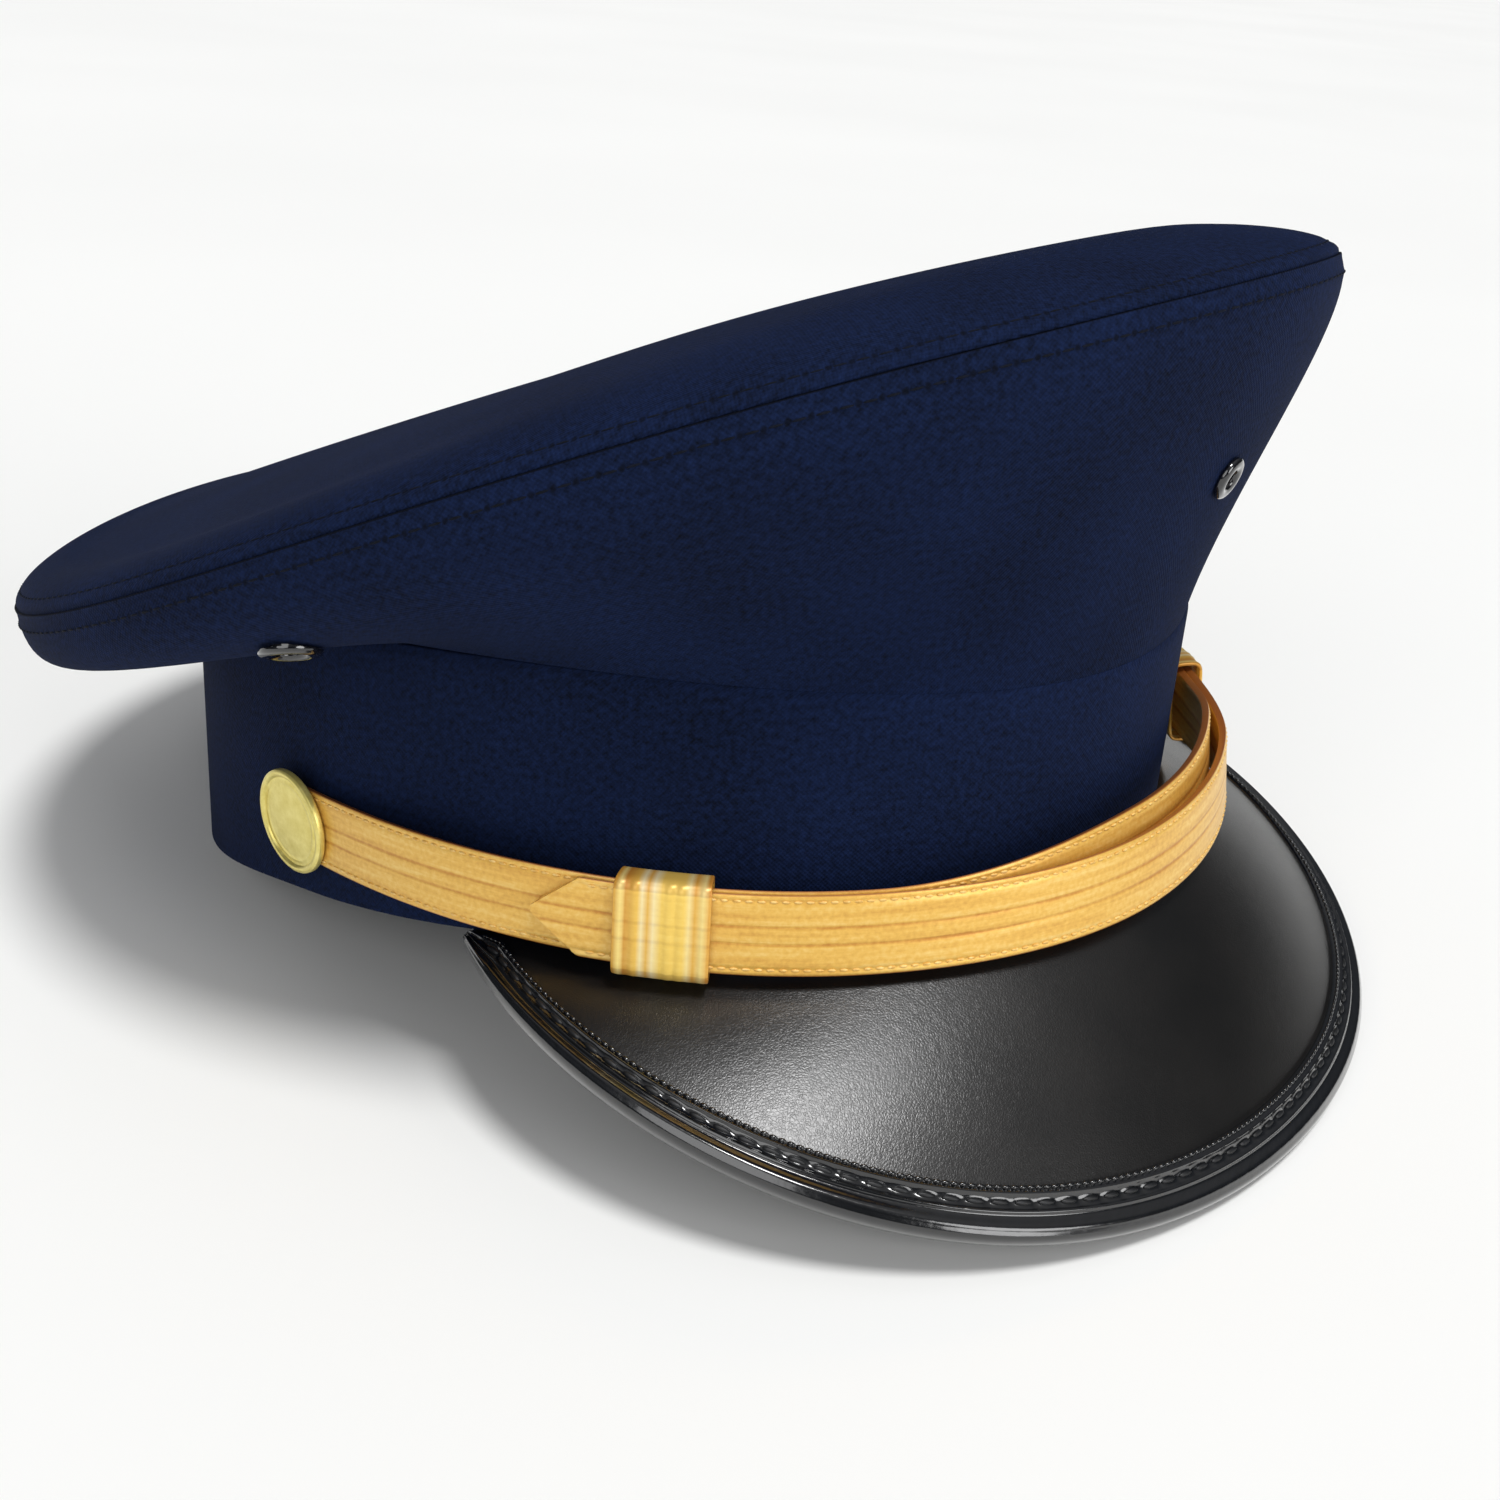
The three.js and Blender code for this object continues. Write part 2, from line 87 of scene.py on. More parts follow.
def unit(vectors):
    """The same directions, each 1 long."""
    return vectors / np.linalg.norm(vectors, axis=-1, keepdims=True)


def point(x, y, z):
    """Stacks arrays of x, y and z into one array of points."""
    x, y, z = np.broadcast_arrays(x, y, z)
    return np.stack([x, y, z], axis=-1)


def running(points, axis):
    """Length run along one direction of a grid of points."""
    steps = np.linalg.norm(np.diff(points, axis=axis), axis=-1)
    return np.insert(np.cumsum(steps, axis=axis), 0, 0.0, axis=axis)


def grid_out(points):
    """Direction square to a grid of points."""
    return unit(np.cross(np.gradient(points, axis=1), np.gradient(points, axis=0)))


def oval_out(half_width, half_length, angle):
    """Level direction square to an oval."""
    return unit(point(np.sin(angle) / half_width, -np.cos(angle) / half_length, 0.0 * angle))


print("straight out at the front:", oval_out(1.0, 1.0, np.zeros(1))[0].round(2) + 0.0)

# %% [markdown]
# ## The oval of the head
# Everything on the real cap is sewn to the band, a stiff upright strip that goes round the head,
# so its oval comes first. It could be a tube cut to height, but a real band leans forwards as it
# rises, its top edge is high over the ears and its hem is low at the back. A function of angle
# and height gives both edges exactly, and the crown, the peak and the strap start from it too.

# %% Shape of the band
GAP = 0.3                          # clearance left between two pieces that touch in life
BAND_HALF_LENGTH, BAND_HALF_WIDTH = 103.5, 88.2
BAND_HEIGHT, BAND_LEAN = 44.0, 7.4
BAND_FRONT_DROP, BAND_SIDE_RISE = 1.7, 6.5
BAND_BACK_DROP, BAND_DROP_FROM, BAND_DROP_TO = 7.5, 98.0, 150.0     # the last two in degrees


def band_at(angle, z, out=0.0):
    """Outer face of the band, or a surface further out."""
    return point((BAND_HALF_WIDTH + out) * np.sin(angle),
                 -(BAND_HALF_LENGTH + out) * np.cos(angle) - BAND_LEAN * z / BAND_HEIGHT, z)


def band_top(angle):
    """Height of the top edge, which dips at the front and the back."""
    return BAND_HEIGHT - BAND_FRONT_DROP * np.cos(angle) - BAND_SIDE_RISE * np.cos(2 * angle)


def band_foot(angle):
    """Height of the hem, which drops behind the ears."""
    start, end = (-np.cos(radians(a)) for a in (BAND_DROP_FROM, BAND_DROP_TO))
    return -BAND_BACK_DROP * smooth(start, end, -np.cos(angle))


turn = np.linspace(-np.pi, np.pi, 361)     # once round the cap, degree by degree
print("round the band outside, mm:", round(running(band_at(turn, 0 * turn), 0)[-1], 1))

# %% [markdown]
# ## Tipping the cap back to rest
# A cap set down on a table stands on the front of its peak and the back of its band. It is
# easier to draw it upright on its band and to tip every point at the end. It could be tipped as
# one object, but each piece has to end at the origin, unturned, with its place in its mesh. The
# tilt is known, and the lift and the shift come from the band's box in the frame, so nothing is
# placed by eye.

# %% Rest position
REST_TILT = radians(9.787643)


def tipped(points):
    """Points drawn upright on the band, leaned back about the ear-to-ear axis."""
    c, s = np.cos(REST_TILT), np.sin(REST_TILT)
    x, y, z = np.moveaxis(np.asarray(points, float), -1, 0)
    return point(x, c * y + s * z, c * z - s * y)


around = np.radians(np.arange(0, 360, 360 / 64))
edges = np.concatenate([band_at(around, band_foot(around)), band_at(around, band_top(around))])
band_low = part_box("band")[0] / MM
REST_MOVE = np.array([0.0, band_low.y, band_low.z]) - tipped(edges).min(axis=0) * [0, 1, 1]


def at_rest(points):
    """Points in the frame's metres, with the cap standing by itself."""
    return (tipped(points) + REST_MOVE) * MM


print("cap moved to rest by, mm:", REST_MOVE.round(2))

# %% [markdown]
# ## Laying a sheet
# Cloth and leather start as flat sheets, so every panel here starts as Blender's flat grid, and
# its corners are carried to the points of a surface. Two maps go with it: one in millimetres for
# the weave or grain, and one that follows a seam for its stitches. Solidify then gives the sheet
# its thickness and Bevel rounds its cut edges. Drawing both faces and the edges by hand would
# give the same shape with three times the work.

# %% Helpers: work on one piece alone
def only(piece):
    """Selects one piece and nothing else."""
    bpy.ops.object.select_all(action="DESELECT")
    piece.select_set(True)
    bpy.context.view_layer.objects.active = piece


def edit(piece, *steps):
    """Runs edit-mode operators on the whole of one piece."""
    only(piece)
    bpy.ops.object.mode_set(mode="EDIT")
    bpy.ops.mesh.select_all(action="SELECT")
    for step, settings in steps:
        step(**settings)
    bpy.ops.object.mode_set(mode="OBJECT")


def finish_with(piece, kind, **settings):
    """Adds a modifier and applies it."""
    only(piece)
    modifier = piece.modifiers.new(kind, kind)
    for name, value in settings.items():
        setattr(modifier, name, value)
    bpy.ops.object.modifier_apply(modifier=modifier.name)


# %% Helper: write a map
def paint_map(piece, name, values):
    """Writes a UV map from one value pair per grid corner."""
    uv_map = piece.data.uv_layers.get(name) or piece.data.uv_layers.new(name=name)
    corners = np.zeros(len(piece.data.loops), dtype=np.int32)
    piece.data.loops.foreach_get("vertex_index", corners)
    uv_map.data.foreach_set("uv", values.reshape(-1, 2)[corners].astype(np.float32).ravel())


# %% Helper: lay a sheet over a surface
WELD = 0.00002                     # metres; closes a ring whose first and last columns meet
NO_SEAM = 500.0                    # millimetres; as good as out of reach of any seam
CUT_EDGE, SOFT_EDGE = radians(55), radians(50)


def lay(name, points, wall, edge, weave=None, seam=None, ring=False, inside_out=False,
        even=True):
    """Carries a flat grid onto points, thickens it inwards and rounds its cut edges."""
    rows, columns = points.shape[:2]
    bpy.ops.object.select_all(action="DESELECT")
    bpy.ops.mesh.primitive_grid_add(x_subdivisions=columns - 1, y_subdivisions=rows - 1)
    piece = bpy.context.object
    piece.name = piece.data.name = name
    piece.data.vertices.foreach_set("co", at_rest(points).astype(np.float32).ravel())
    if weave is None:
        weave = np.stack([running(points, 1), running(points, 0)], axis=-1)
    piece.data.uv_layers[0].name = "weave"
    paint_map(piece, "weave", weave)
    paint_map(piece, "seam", weave + NO_SEAM if seam is None else seam)
    piece.data.update()
    if ring:
        edit(piece, (bpy.ops.mesh.remove_doubles, {"threshold": WELD}))
    if inside_out:
        edit(piece, (bpy.ops.mesh.flip_normals, {}))
    finish_with(piece, "SOLIDIFY", thickness=wall * MM, offset=-1, use_even_offset=even)
    finish_with(piece, "BEVEL", width=edge * MM, segments=2, limit_method="ANGLE",
                angle_limit=CUT_EDGE)
    only(piece)
    bpy.ops.object.shade_smooth_by_angle(angle=SOFT_EDGE)
    print(name, len(piece.data.polygons), "faces")
    return piece


# %% [markdown]
# ## The crown's side wall
# The crown is two panels of worsted cloth: a wall that flares out from the band, and a domed top.
# The wall climbs high at the front, where a stiffener holds it up, and lies nearly level at the
# back. A cone could be pushed into shape by hand, but the flare changes all the way round. So
# each column of the wall is a curve with four handles: its foot just inside the band, its head
# at the top seam, and two between them that move as it goes round.

# %% Line of the top seam
CROWN_HALF_LENGTH, CROWN_HALF_WIDTH, CROWN_CENTRE_Y = 131.5, 119.6, -2.3
SEAM_HEIGHT, SEAM_TILT, SEAM_SADDLE, SEAM_WAVE = 70.0, 28.5, 3.9, -2.4


def seam_at(angle, inset=0.0):
    """The seam round the widest edge, high at the front, or a line inset from it."""
    height = (SEAM_HEIGHT + SEAM_TILT * np.cos(angle) + SEAM_SADDLE * np.cos(2 * angle)
              + SEAM_WAVE * np.cos(3 * angle))
    return point((CROWN_HALF_WIDTH - inset) * np.sin(angle),
                 CROWN_CENTRE_Y - (CROWN_HALF_LENGTH - inset) * np.cos(angle), height)


seam_run = running(seam_at(turn), 0)
print("length of the top seam, mm:", round(seam_run[-1], 1))

# %% Surface of the wall
SEAM_LAP = 0.03                    # the two panels all but touch at their seam
FLARE_BACK, FLARE_FRONT = 17.0, 7.5      # lower handle: how far out from the foot
START_BACK, START_FRONT = -2.5, 24.0     # and how far up from it
ROUND_BACK, ROUND_FRONT = 21.5, 7.0      # upper handle: how far under the seam
FRONT_SWELL = 5.2                        # and how far out at the front


def wall_at(angle, rise):
    """Side wall of the crown, from the band (rise 0) to the top seam (rise 1)."""
    front = (1 + np.cos(angle)) / 2
    out = oval_out(CROWN_HALF_WIDTH, CROWN_HALF_LENGTH, angle)
    up = point(0.0, 0.0, 1.0 + 0.0 * angle)
    foot = band_at(angle, band_top(angle) + GAP, -GAP)
    head = seam_at(angle) - up * SEAM_LAP
    from_foot = (foot + out * mix(FLARE_BACK, FLARE_FRONT, front)[..., None]
                 + up * mix(START_BACK, START_FRONT, front ** 2)[..., None])
    below_head = (head + out * (FRONT_SWELL * front ** 4)[..., None]
                  - up * mix(ROUND_BACK, ROUND_FRONT, front ** 4)[..., None])
    t = np.asarray(rise)[..., None]
    return ((1 - t) ** 3 * foot + 3 * t * (1 - t) ** 2 * from_foot
            + 3 * t * t * (1 - t) * below_head + t ** 3 * head)


foot, head = (wall_at(np.zeros(1), rise)[0] for rise in (0.0, 1.0))
print("the wall climbs at the front, mm:", round(float(head[2] - foot[2]), 1))

# %% [markdown]
# The seam allowances are pressed open inside and stitched down on both sides, so a row of
# stitches runs about three millimetres either side of the seam. The cloth is a quarter of a
# millimetre out of line there: the top sinks into the seam and the wall's lip stands as much
# proud of it. A bump map could fake that, but only real relief catches light along the edge, so
# it is in the mesh, and the rows of the grid lie close together near the seam to carry it.

# %% Lay the wall
CROWN_WALL, CROWN_EDGE = 2.0, 0.12
SEAM_SINK, SEAM_SPREAD = 0.25, 0.55
STITCH_AWAY, STITCH_PITCH, STITCH_SINK, STITCH_SPREAD = 3.1, 3.3, 0.16, 0.6
SEAM_OVERLAP = 0.5                 # the wall's foot reaches below the band's edge: no gap shows
stitch_count = int(seam_run[-1] // STITCH_PITCH)
STITCH_STEP = seam_run[-1] / stitch_count


def sunk(away):
    """How far the cloth sinks at the seam and under the stitches beside it."""
    return (-SEAM_SINK * hump(away, SEAM_SPREAD)
            - STITCH_SINK * hump(away - STITCH_AWAY, STITCH_SPREAD))


rises = np.concatenate([[0, 0.006, 0.015], np.linspace(0.03, 0.9, 30),
                        np.linspace(0.905, 1.0, 22)])
angle_grid, rise_grid = np.meshgrid(turn, rises)
wall_points = wall_at(angle_grid, rise_grid)
wall_points[0] -= SEAM_OVERLAP * unit(wall_points[1] - wall_points[0])
wall_in = -grid_out(wall_points)   # into the crown, so the same profile stands proud here
from_seam = running(wall_points, 0)
from_seam = from_seam[-1:] - from_seam
wall_seam = np.stack([np.broadcast_to(seam_run, from_seam.shape), -from_seam], axis=-1)
wall_weave = np.stack([running(wall_at(angle_grid, 0.5 + 0 * rise_grid), 1), -from_seam], -1)
crown_side = lay("crown_side_cloth", wall_points + wall_in * sunk(from_seam)[..., None],
                 CROWN_WALL, CROWN_EDGE, weave=wall_weave, seam=wall_seam, ring=True)

# %% [markdown]
# ## The crown's top
# The top is a cloth disc stretched over a wire, so it rolls over a rounded shoulder at its rim
# and domes a little in the middle. A squashed sphere has no such shoulder. Here the first half of
# the rows climbs the shoulder and the second half runs in to the middle, and the rows where the
# two meet are averaged with their neighbours, as steam and a press would ease them.

# %% Surface of the top
ROLL_HEIGHT, ROLL_FALL, DOME = 6.8, 0.8, 8.5
INSET_BACK, INSET_FRONT, INSET_EASE = 13.0, 30.0, 1.6


def top_at(angle, reach):
    """Top panel: reach 0 to 1 climbs the rounded shoulder, 1 to 2 runs to the middle."""
    shoulder, dome = np.clip(reach, 0, 1), np.clip(2 - reach, 0, 1)
    roll = ROLL_HEIGHT - ROLL_FALL * dome * np.cos(angle)
    inset = mix(INSET_BACK, INSET_FRONT, ((1 + np.cos(angle)) / 2) ** INSET_EASE)
    edge = seam_at(angle, inset * shoulder)
    edge = edge + UP * (SEAM_LAP + roll * np.sqrt(1 - (1 - shoulder) ** 2))[..., None]
    waves = SEAM_SADDLE * np.cos(2 * angle) + SEAM_WAVE * np.cos(3 * angle)
    height = (SEAM_HEIGHT + SEAM_TILT * dome * np.cos(angle) + waves * dome * dome
              + SEAM_LAP + roll + DOME * (1 - dome * dome))
    middle = point((CROWN_HALF_WIDTH - inset) * dome * np.sin(angle),
                   CROWN_CENTRE_Y - (CROWN_HALF_LENGTH - inset) * dome * np.cos(angle),
                   height)
    return np.where((reach <= 1)[..., None], edge, middle)


middle = top_at(np.zeros(1), np.full(1, 2.0))[0]
print("middle of the top above the hem, mm:", round(float(middle[2]), 1))

# %% Lay the top
EASED_FROM, EASINGS = 18, 6        # first row that is eased, and how many times
reaches = np.concatenate([1 - np.cos(np.linspace(0, np.pi / 2, 24)), np.linspace(1.03, 2, 24)])
angle_grid, reach_grid = np.meshgrid(turn, reaches)
top_points = top_at(angle_grid, reach_grid)
for _ in range(EASINGS):
    top_points[EASED_FROM:-1] = (top_points[EASED_FROM - 1:-2] + 2 * top_points[EASED_FROM:-1]
                                 + top_points[EASED_FROM + 1:]) / 4
top_out = grid_out(top_points)
top_out[-1] = unit(top_out[-2].mean(axis=0))     # the last row is one point, with no way round
top_from_seam = running(top_points, 0)
top_seam = np.stack([np.broadcast_to(seam_run, top_from_seam.shape), top_from_seam], axis=-1)
from_middle = top_from_seam[-1:] - top_from_seam
top_weave = np.stack([from_middle * np.sin(angle_grid), -from_middle * np.cos(angle_grid)], -1)
crown_top = lay("crown_top_cloth", top_points + top_out * sunk(top_from_seam)[..., None],
                CROWN_WALL, CROWN_EDGE, weave=top_weave, seam=top_seam, ring=True, even=False)

# %% [markdown]
# ## Topstitching
# Each row is a line of thread loops beside the seam, about three millimetres apart. A row drawn
# in the material alone would go flat against the light, so every stitch is modelled. One loop is
# made from a small sphere, turned to lie along X and stretched, and then it is copied to each
# mark on the row: hundreds of stitches, but only a few dozen faces each.

# %% Helper: sew one stitch many times
LOOP_SIDES, LOOP_RINGS = 8, 6


def sew(name, size, centres, along, out):
    """One thread loop of a length, width and height, copied to every place along a seam."""
    bpy.ops.object.select_all(action="DESELECT")
    bpy.ops.mesh.primitive_uv_sphere_add(segments=LOOP_SIDES, ring_count=LOOP_RINGS, radius=0.5)
    thread = bpy.context.object
    edit(thread,
         (bpy.ops.transform.rotate, {"value": radians(90), "orient_axis": "Y",
                                     "center_override": (0, 0, 0)}),
         (bpy.ops.transform.resize, {"value": size}))
    shape = np.array([v.co[:] for v in thread.data.vertices])
    faces = [tuple(f.vertices) for f in thread.data.polygons]
    side = np.cross(out, along)
    turned = np.stack([along, side, out], axis=1)
    placed = centres[:, None, :] + np.einsum("vk,nkj->nvj", shape, turned)
    count = len(shape)
    loops = [tuple(i + n * count for i in face) for n in range(len(centres)) for face in faces]
    thread.data.clear_geometry()
    thread.data.from_pydata(at_rest(placed).reshape(-1, 3).tolist(), [], loops)
    thread.name = thread.data.name = name
    edit(thread, (bpy.ops.mesh.normals_make_consistent, {"inside": False}))
    only(thread)
    bpy.ops.object.shade_smooth()
    print(name, len(centres), "stitches")
    return thread


# %% Helpers: places along a seam
def read_at(marks, run, values):
    """Points or directions along a line, read where its running length reaches each mark."""
    return np.stack([np.interp(marks, run, values[:, k]) for k in range(3)], axis=-1)


def squared(out, along):
    """The direction out, leaned until it is square to the direction along."""
    return unit(out - along * np.sum(out * along, axis=-1, keepdims=True))


def beside_seam(values, away, step):
    """Reads a panel's points or directions where the stitches run. Its rows have to lead away
    from the seam, so a step of -1 takes them backwards."""
    return np.stack([[np.interp(STITCH_AWAY, away[::step, i], values[::step, i, k])
                      for k in range(3)] for i in range(values.shape[1])])


marks = (np.arange(stitch_count) + 0.5) * STITCH_STEP
print("stitches in a row:", stitch_count, "at, mm:", round(STITCH_STEP, 3))

# %% Sew both rows
TOPSTITCH = (2.1, 0.4, 0.4)
AHEAD = 0.5                        # how far on the line is read to see which way it runs
rows = []
for points, out, away, step in ((wall_points, wall_in, from_seam, -1),
                                (top_points, top_out, top_from_seam, 1)):
    line = beside_seam(points, away, step)
    facing = unit(beside_seam(out, away, step))
    centres = read_at(marks, seam_run, line)
    along = unit(read_at(marks + AHEAD, seam_run, line) - centres)
    outward = squared(unit(read_at(marks, seam_run, facing)), along)
    rows.append((centres - outward * STITCH_SINK, along, outward))
topstitch = sew("crown_topstitching", TOPSTITCH, *(np.concatenate(r) for r in zip(*rows)))

# %% [markdown]
# ## The band
# The band is the part that holds the head: stiff, upright and wrapped in the same cloth. It is
# one plain strip joined at the back, so it is one sheet with rounded edges. Its top edge turns
# in a little where the crown is sewn on, which leaves the fine dark line between the two. A
# separate dark line would be quicker, but a tucked edge darkens by itself from every side.

# %% Band
TUCK, TUCK_SPREAD, BAND_WALL, BAND_EDGE = 0.5, 0.9, 3.0, 0.6
levels = np.array([0, 0.012, 0.03, 0.1, 0.25, 0.4, 0.55, 0.7, 0.85, 0.95, 0.98, 0.992, 1.0])
angle_grid, level_grid = np.meshgrid(turn, levels)
band_points = band_at(angle_grid, mix(band_foot(angle_grid), band_top(angle_grid), level_grid))
tuck = -TUCK * hump(BAND_HEIGHT * (1 - level_grid), TUCK_SPREAD)
band_points = (band_points
               + oval_out(BAND_HALF_WIDTH, BAND_HALF_LENGTH, angle_grid) * tuck[..., None])
band = lay("band_cloth", band_points, BAND_WALL, BAND_EDGE, ring=True)

# %% [markdown]
# ## The peak
# The peak is a crescent of leather, damped and moulded over a former, so it slopes down steeply
# in front, lies flatter at its corners and bulges a little between. Its inner margin is turned in
# under the band. It could be cut from a dish with a boolean, but the cut would leave ragged
# faces. Drawn as rows from the band to the edge, its faces follow the leather instead.

# %% Surface of the peak
PEAK_HALF_ANGLE, PEAK_WIDTH, PEAK_FORWARD, PEAK_BULGE = 77.5, 59.3, 0.16, 2.4
PEAK_SLOPE_FRONT, PEAK_SLOPE_CORNER = 52.0, 10.0       # degrees below level
PEAK_SHEET, PEAK_FLANGE = 2.2, 2.7


def peak_width(across):
    """How far the leather reaches from the band, most in front and nothing at the corners."""
    return PEAK_WIDTH * (1 - np.abs(across) ** 3)


def peak_at(across, down):
    """Upper face of the peak: across -1 to 1 from corner to corner, down 0 to 1 to its edge."""
    angle = radians(PEAK_HALF_ANGLE) * across
    sweep = unit(oval_out(BAND_HALF_WIDTH, BAND_HALF_LENGTH, angle) * (1 - PEAK_FORWARD)
                 + point(0.0, -PEAK_FORWARD, 0.0 * across))
    slope = np.radians(mix(PEAK_SLOPE_FRONT, PEAK_SLOPE_CORNER, across ** 2))
    width = peak_width(across)
    swell = PEAK_BULGE * np.sin(np.pi * down) * width / PEAK_WIDTH
    along = (width * down * np.cos(slope) + swell * np.sin(slope))[..., None]
    rise = (-width * down * np.sin(slope) + swell * np.cos(slope) - GAP)[..., None]
    return band_at(angle, 0.0 * angle) + sweep * along + UP * rise


def peak_out(across, down):
    """Direction square to the upper face."""
    d = 0.01
    low, high = np.clip(down - d, 0, 1), np.clip(down + d, 0, 1)
    along = peak_at(across + d, down) - peak_at(across - d, down)
    return unit(np.cross(peak_at(across, high) - peak_at(across, low), along))


down_front = running(peak_at(np.zeros(50), np.linspace(0, 1, 50)), 0)[-1]
print("down the peak at the front, mm:", round(down_front, 1))

# %% Lay the peak
PEAK_END, PEAK_EDGE = 0.985, 0.3   # the very corners are cut off
across = np.linspace(-PEAK_END, PEAK_END, 241)
downs = np.concatenate([[0.0], np.linspace(0.02, 1.0, 46)])
across_grid, down_grid = np.meshgrid(across, downs)
peak_points = peak_at(across_grid, down_grid)
peak_points[0] = band_at(radians(PEAK_HALF_ANGLE) * across, -GAP + 0 * across, -PEAK_FLANGE)
peak = lay("peak_leather", peak_points, PEAK_SHEET, PEAK_EDGE, inside_out=True)

# %% [markdown]
# ## The binding of the peak's edge
# The raw edge is bound with a folded strip of patent leather: a smooth roll outside, then two
# ridges with a row of stitches pulled down between them, and a fine corded line along the inner
# lip. A pipe swept along the edge would be too plain, so the strip's own section is drawn. Rows
# run from the upper lip out to the edge, round the nose of the fold, and back underneath.

# %% Section of the binding
BINDING_WIDTH, BIND_RISE = 7.6, 0.8      # the strip and how high it stands on the leather
LIP_FROM, LIP_TO = 7.55, 7.9             # where its upper lip comes down to the leather
ROLL_AT, ROLL_SPREAD, ROLL_RISE = 0.9, 1.3, 0.85
RIDGES_AT, RIDGE_SPREAD, RIDGE_RISE = (6.35, 3.45), 0.42, 0.5
STITCH_LINE, HOLE_SPREAD, HOLE_DEPTH, BIND_PITCH = 4.95, 0.7, 0.35, 4.2


def binding_height(inward, run):
    """Height of the binding's upper lip over the leather, from its free edge inwards."""
    ridges = sum(RIDGE_RISE * hump(inward - place, RIDGE_SPREAD) for place in RIDGES_AT)
    roll = ROLL_RISE * hump(inward - ROLL_AT, ROLL_SPREAD)
    pull = (0.5 + 0.5 * np.cos(2 * np.pi * run / BIND_PITCH)) ** 3
    hole = HOLE_DEPTH * hump(inward - STITCH_LINE, HOLE_SPREAD) * pull
    return (BIND_RISE + ridges + roll - hole) * smooth(LIP_TO, LIP_FROM, inward)


tallest = binding_height(np.arange(0, LIP_TO, 0.05), 0).max()
print("binding at its tallest, mm:", round(float(tallest), 2))

# %% Lay the binding
BIND_STATION, BIND_MOST, BIND_SHALLOW = 0.75, 0.7, 0.6
NOSE_REACH, UNDER_DEPTH, BIND_WALL, BIND_EDGE = 1.5, 1.25, 0.6, 0.15
edge_run = running(peak_at(np.linspace(-PEAK_END, PEAK_END, 400), np.ones(400)), 0)[-1]
stations = np.linspace(-PEAK_END, PEAK_END, int(edge_run / BIND_STATION))
ones = np.ones_like(stations)
bind_run = running(peak_at(stations, ones), 0)
# The strip narrows where the peak does, and its relief is shallower there.
share = np.minimum(BINDING_WIDTH, BIND_MOST * peak_width(stations)) / BINDING_WIDTH
relief = mix(BIND_SHALLOW, 1.0, share)

rows = []
for s in np.arange(LIP_TO, -0.01, -0.2):
    down = 1 - s * share / peak_width(stations)
    lift = binding_height(s, bind_run) * relief
    rows.append(peak_at(stations, down) + peak_out(stations, down) * lift[:, None])
edge_out = peak_out(stations, ones)
edge_ahead = unit(peak_at(stations, ones) - peak_at(stations, ones * 0.98))
middle = peak_at(stations, ones) - edge_out * PEAK_SHEET / 2
half_nose = binding_height(0.0, bind_run) * relief + PEAK_SHEET / 2
for t in np.linspace(np.pi / 2, -np.pi / 2, 15)[1:-1]:
    rows.append(middle + edge_ahead * NOSE_REACH * np.cos(t)
                + edge_out * (half_nose * np.sin(t))[:, None])
for s in np.linspace(0.0, BINDING_WIDTH, 9):
    down = 1 - s * share / peak_width(stations)
    rows.append(peak_at(stations, down) - peak_out(stations, down) * (PEAK_SHEET + UNDER_DEPTH))
binding = lay("peak_binding_leather", np.stack(rows), BIND_WALL, BIND_EDGE, inside_out=True)

# %% Stitches and cord of the binding
BIND_STITCH, STITCH_LIFT, STITCH_SHARE = (3.0, 0.95, 0.8), 0.72, 0.9
CORD_BEAD, CORD_LINE, CORD_LIFT, CORD_PITCH, CORD_SHARE = (1.35, 0.75, 0.7), 7.4, 0.85, 1.5, 0.6


def along_binding(inward, lift, pitch, least):
    """Places along the binding, kept where it has at least some share of its full width."""
    down = 1 - inward * share / peak_width(stations)
    facing = peak_out(stations, down)
    line = peak_at(stations, down) + facing * lift
    marks = np.arange(pitch / 2, bind_run[-1], pitch)
    direction = unit(read_at(marks, bind_run, np.gradient(line, axis=0)))
    outward = squared(unit(read_at(marks, bind_run, facing)), direction)
    kept = np.interp(marks, bind_run, share) > least
    return read_at(marks, bind_run, line)[kept], direction[kept], outward[kept]


binding_thread = sew("binding_stitches", BIND_STITCH,
                     *along_binding(STITCH_LINE, STITCH_LIFT, BIND_PITCH, STITCH_SHARE))
binding_cord = sew("binding_corded_line", CORD_BEAD,
                   *along_binding(CORD_LINE, CORD_LIFT, CORD_PITCH, CORD_SHARE))

# %% [markdown]
# ## The strap
# The chin strap is two bands of gold-faced leather that overlap across the front, each buttoned
# at one side. The face has two pressed lines down its middle and a stitched rim along each
# edge, and the tip of each layer is cut to a point. A strip on a curve modifier would twist as
# it goes round, so the strap's middle line is a function of the angle, and every point is set
# out from it square to the leather. One function lays both layers, so they match.

# %% Line of the strap
STRAP_BUTTON_ANGLE = 98.2
STRAP_SEAT, STRAP_STAND_OFF = 0.5, 7.3   # off the band at the buttons, and what the front adds
STRAP_BUTTON_HEIGHT, STRAP_FRONT_HEIGHT, STRAP_SAG, STRAP_SIDE_LEAN = 15.0, 1.1, 1.5, 3.75


def strap_line(angle):
    """Middle line of the strap's back face, from button to button round the front."""
    at_button = np.cos(radians(STRAP_BUTTON_ANGLE))
    share = np.clip((np.cos(angle) - at_button) / (1 - at_button), 0, 1)
    away = STRAP_SEAT + STRAP_STAND_OFF * np.sin(share * np.pi / 2)
    z = (mix(STRAP_BUTTON_HEIGHT, STRAP_FRONT_HEIGHT, share ** STRAP_SAG)
         + STRAP_SIDE_LEAN * np.sin(angle) * share)
    return band_at(angle, z, away)


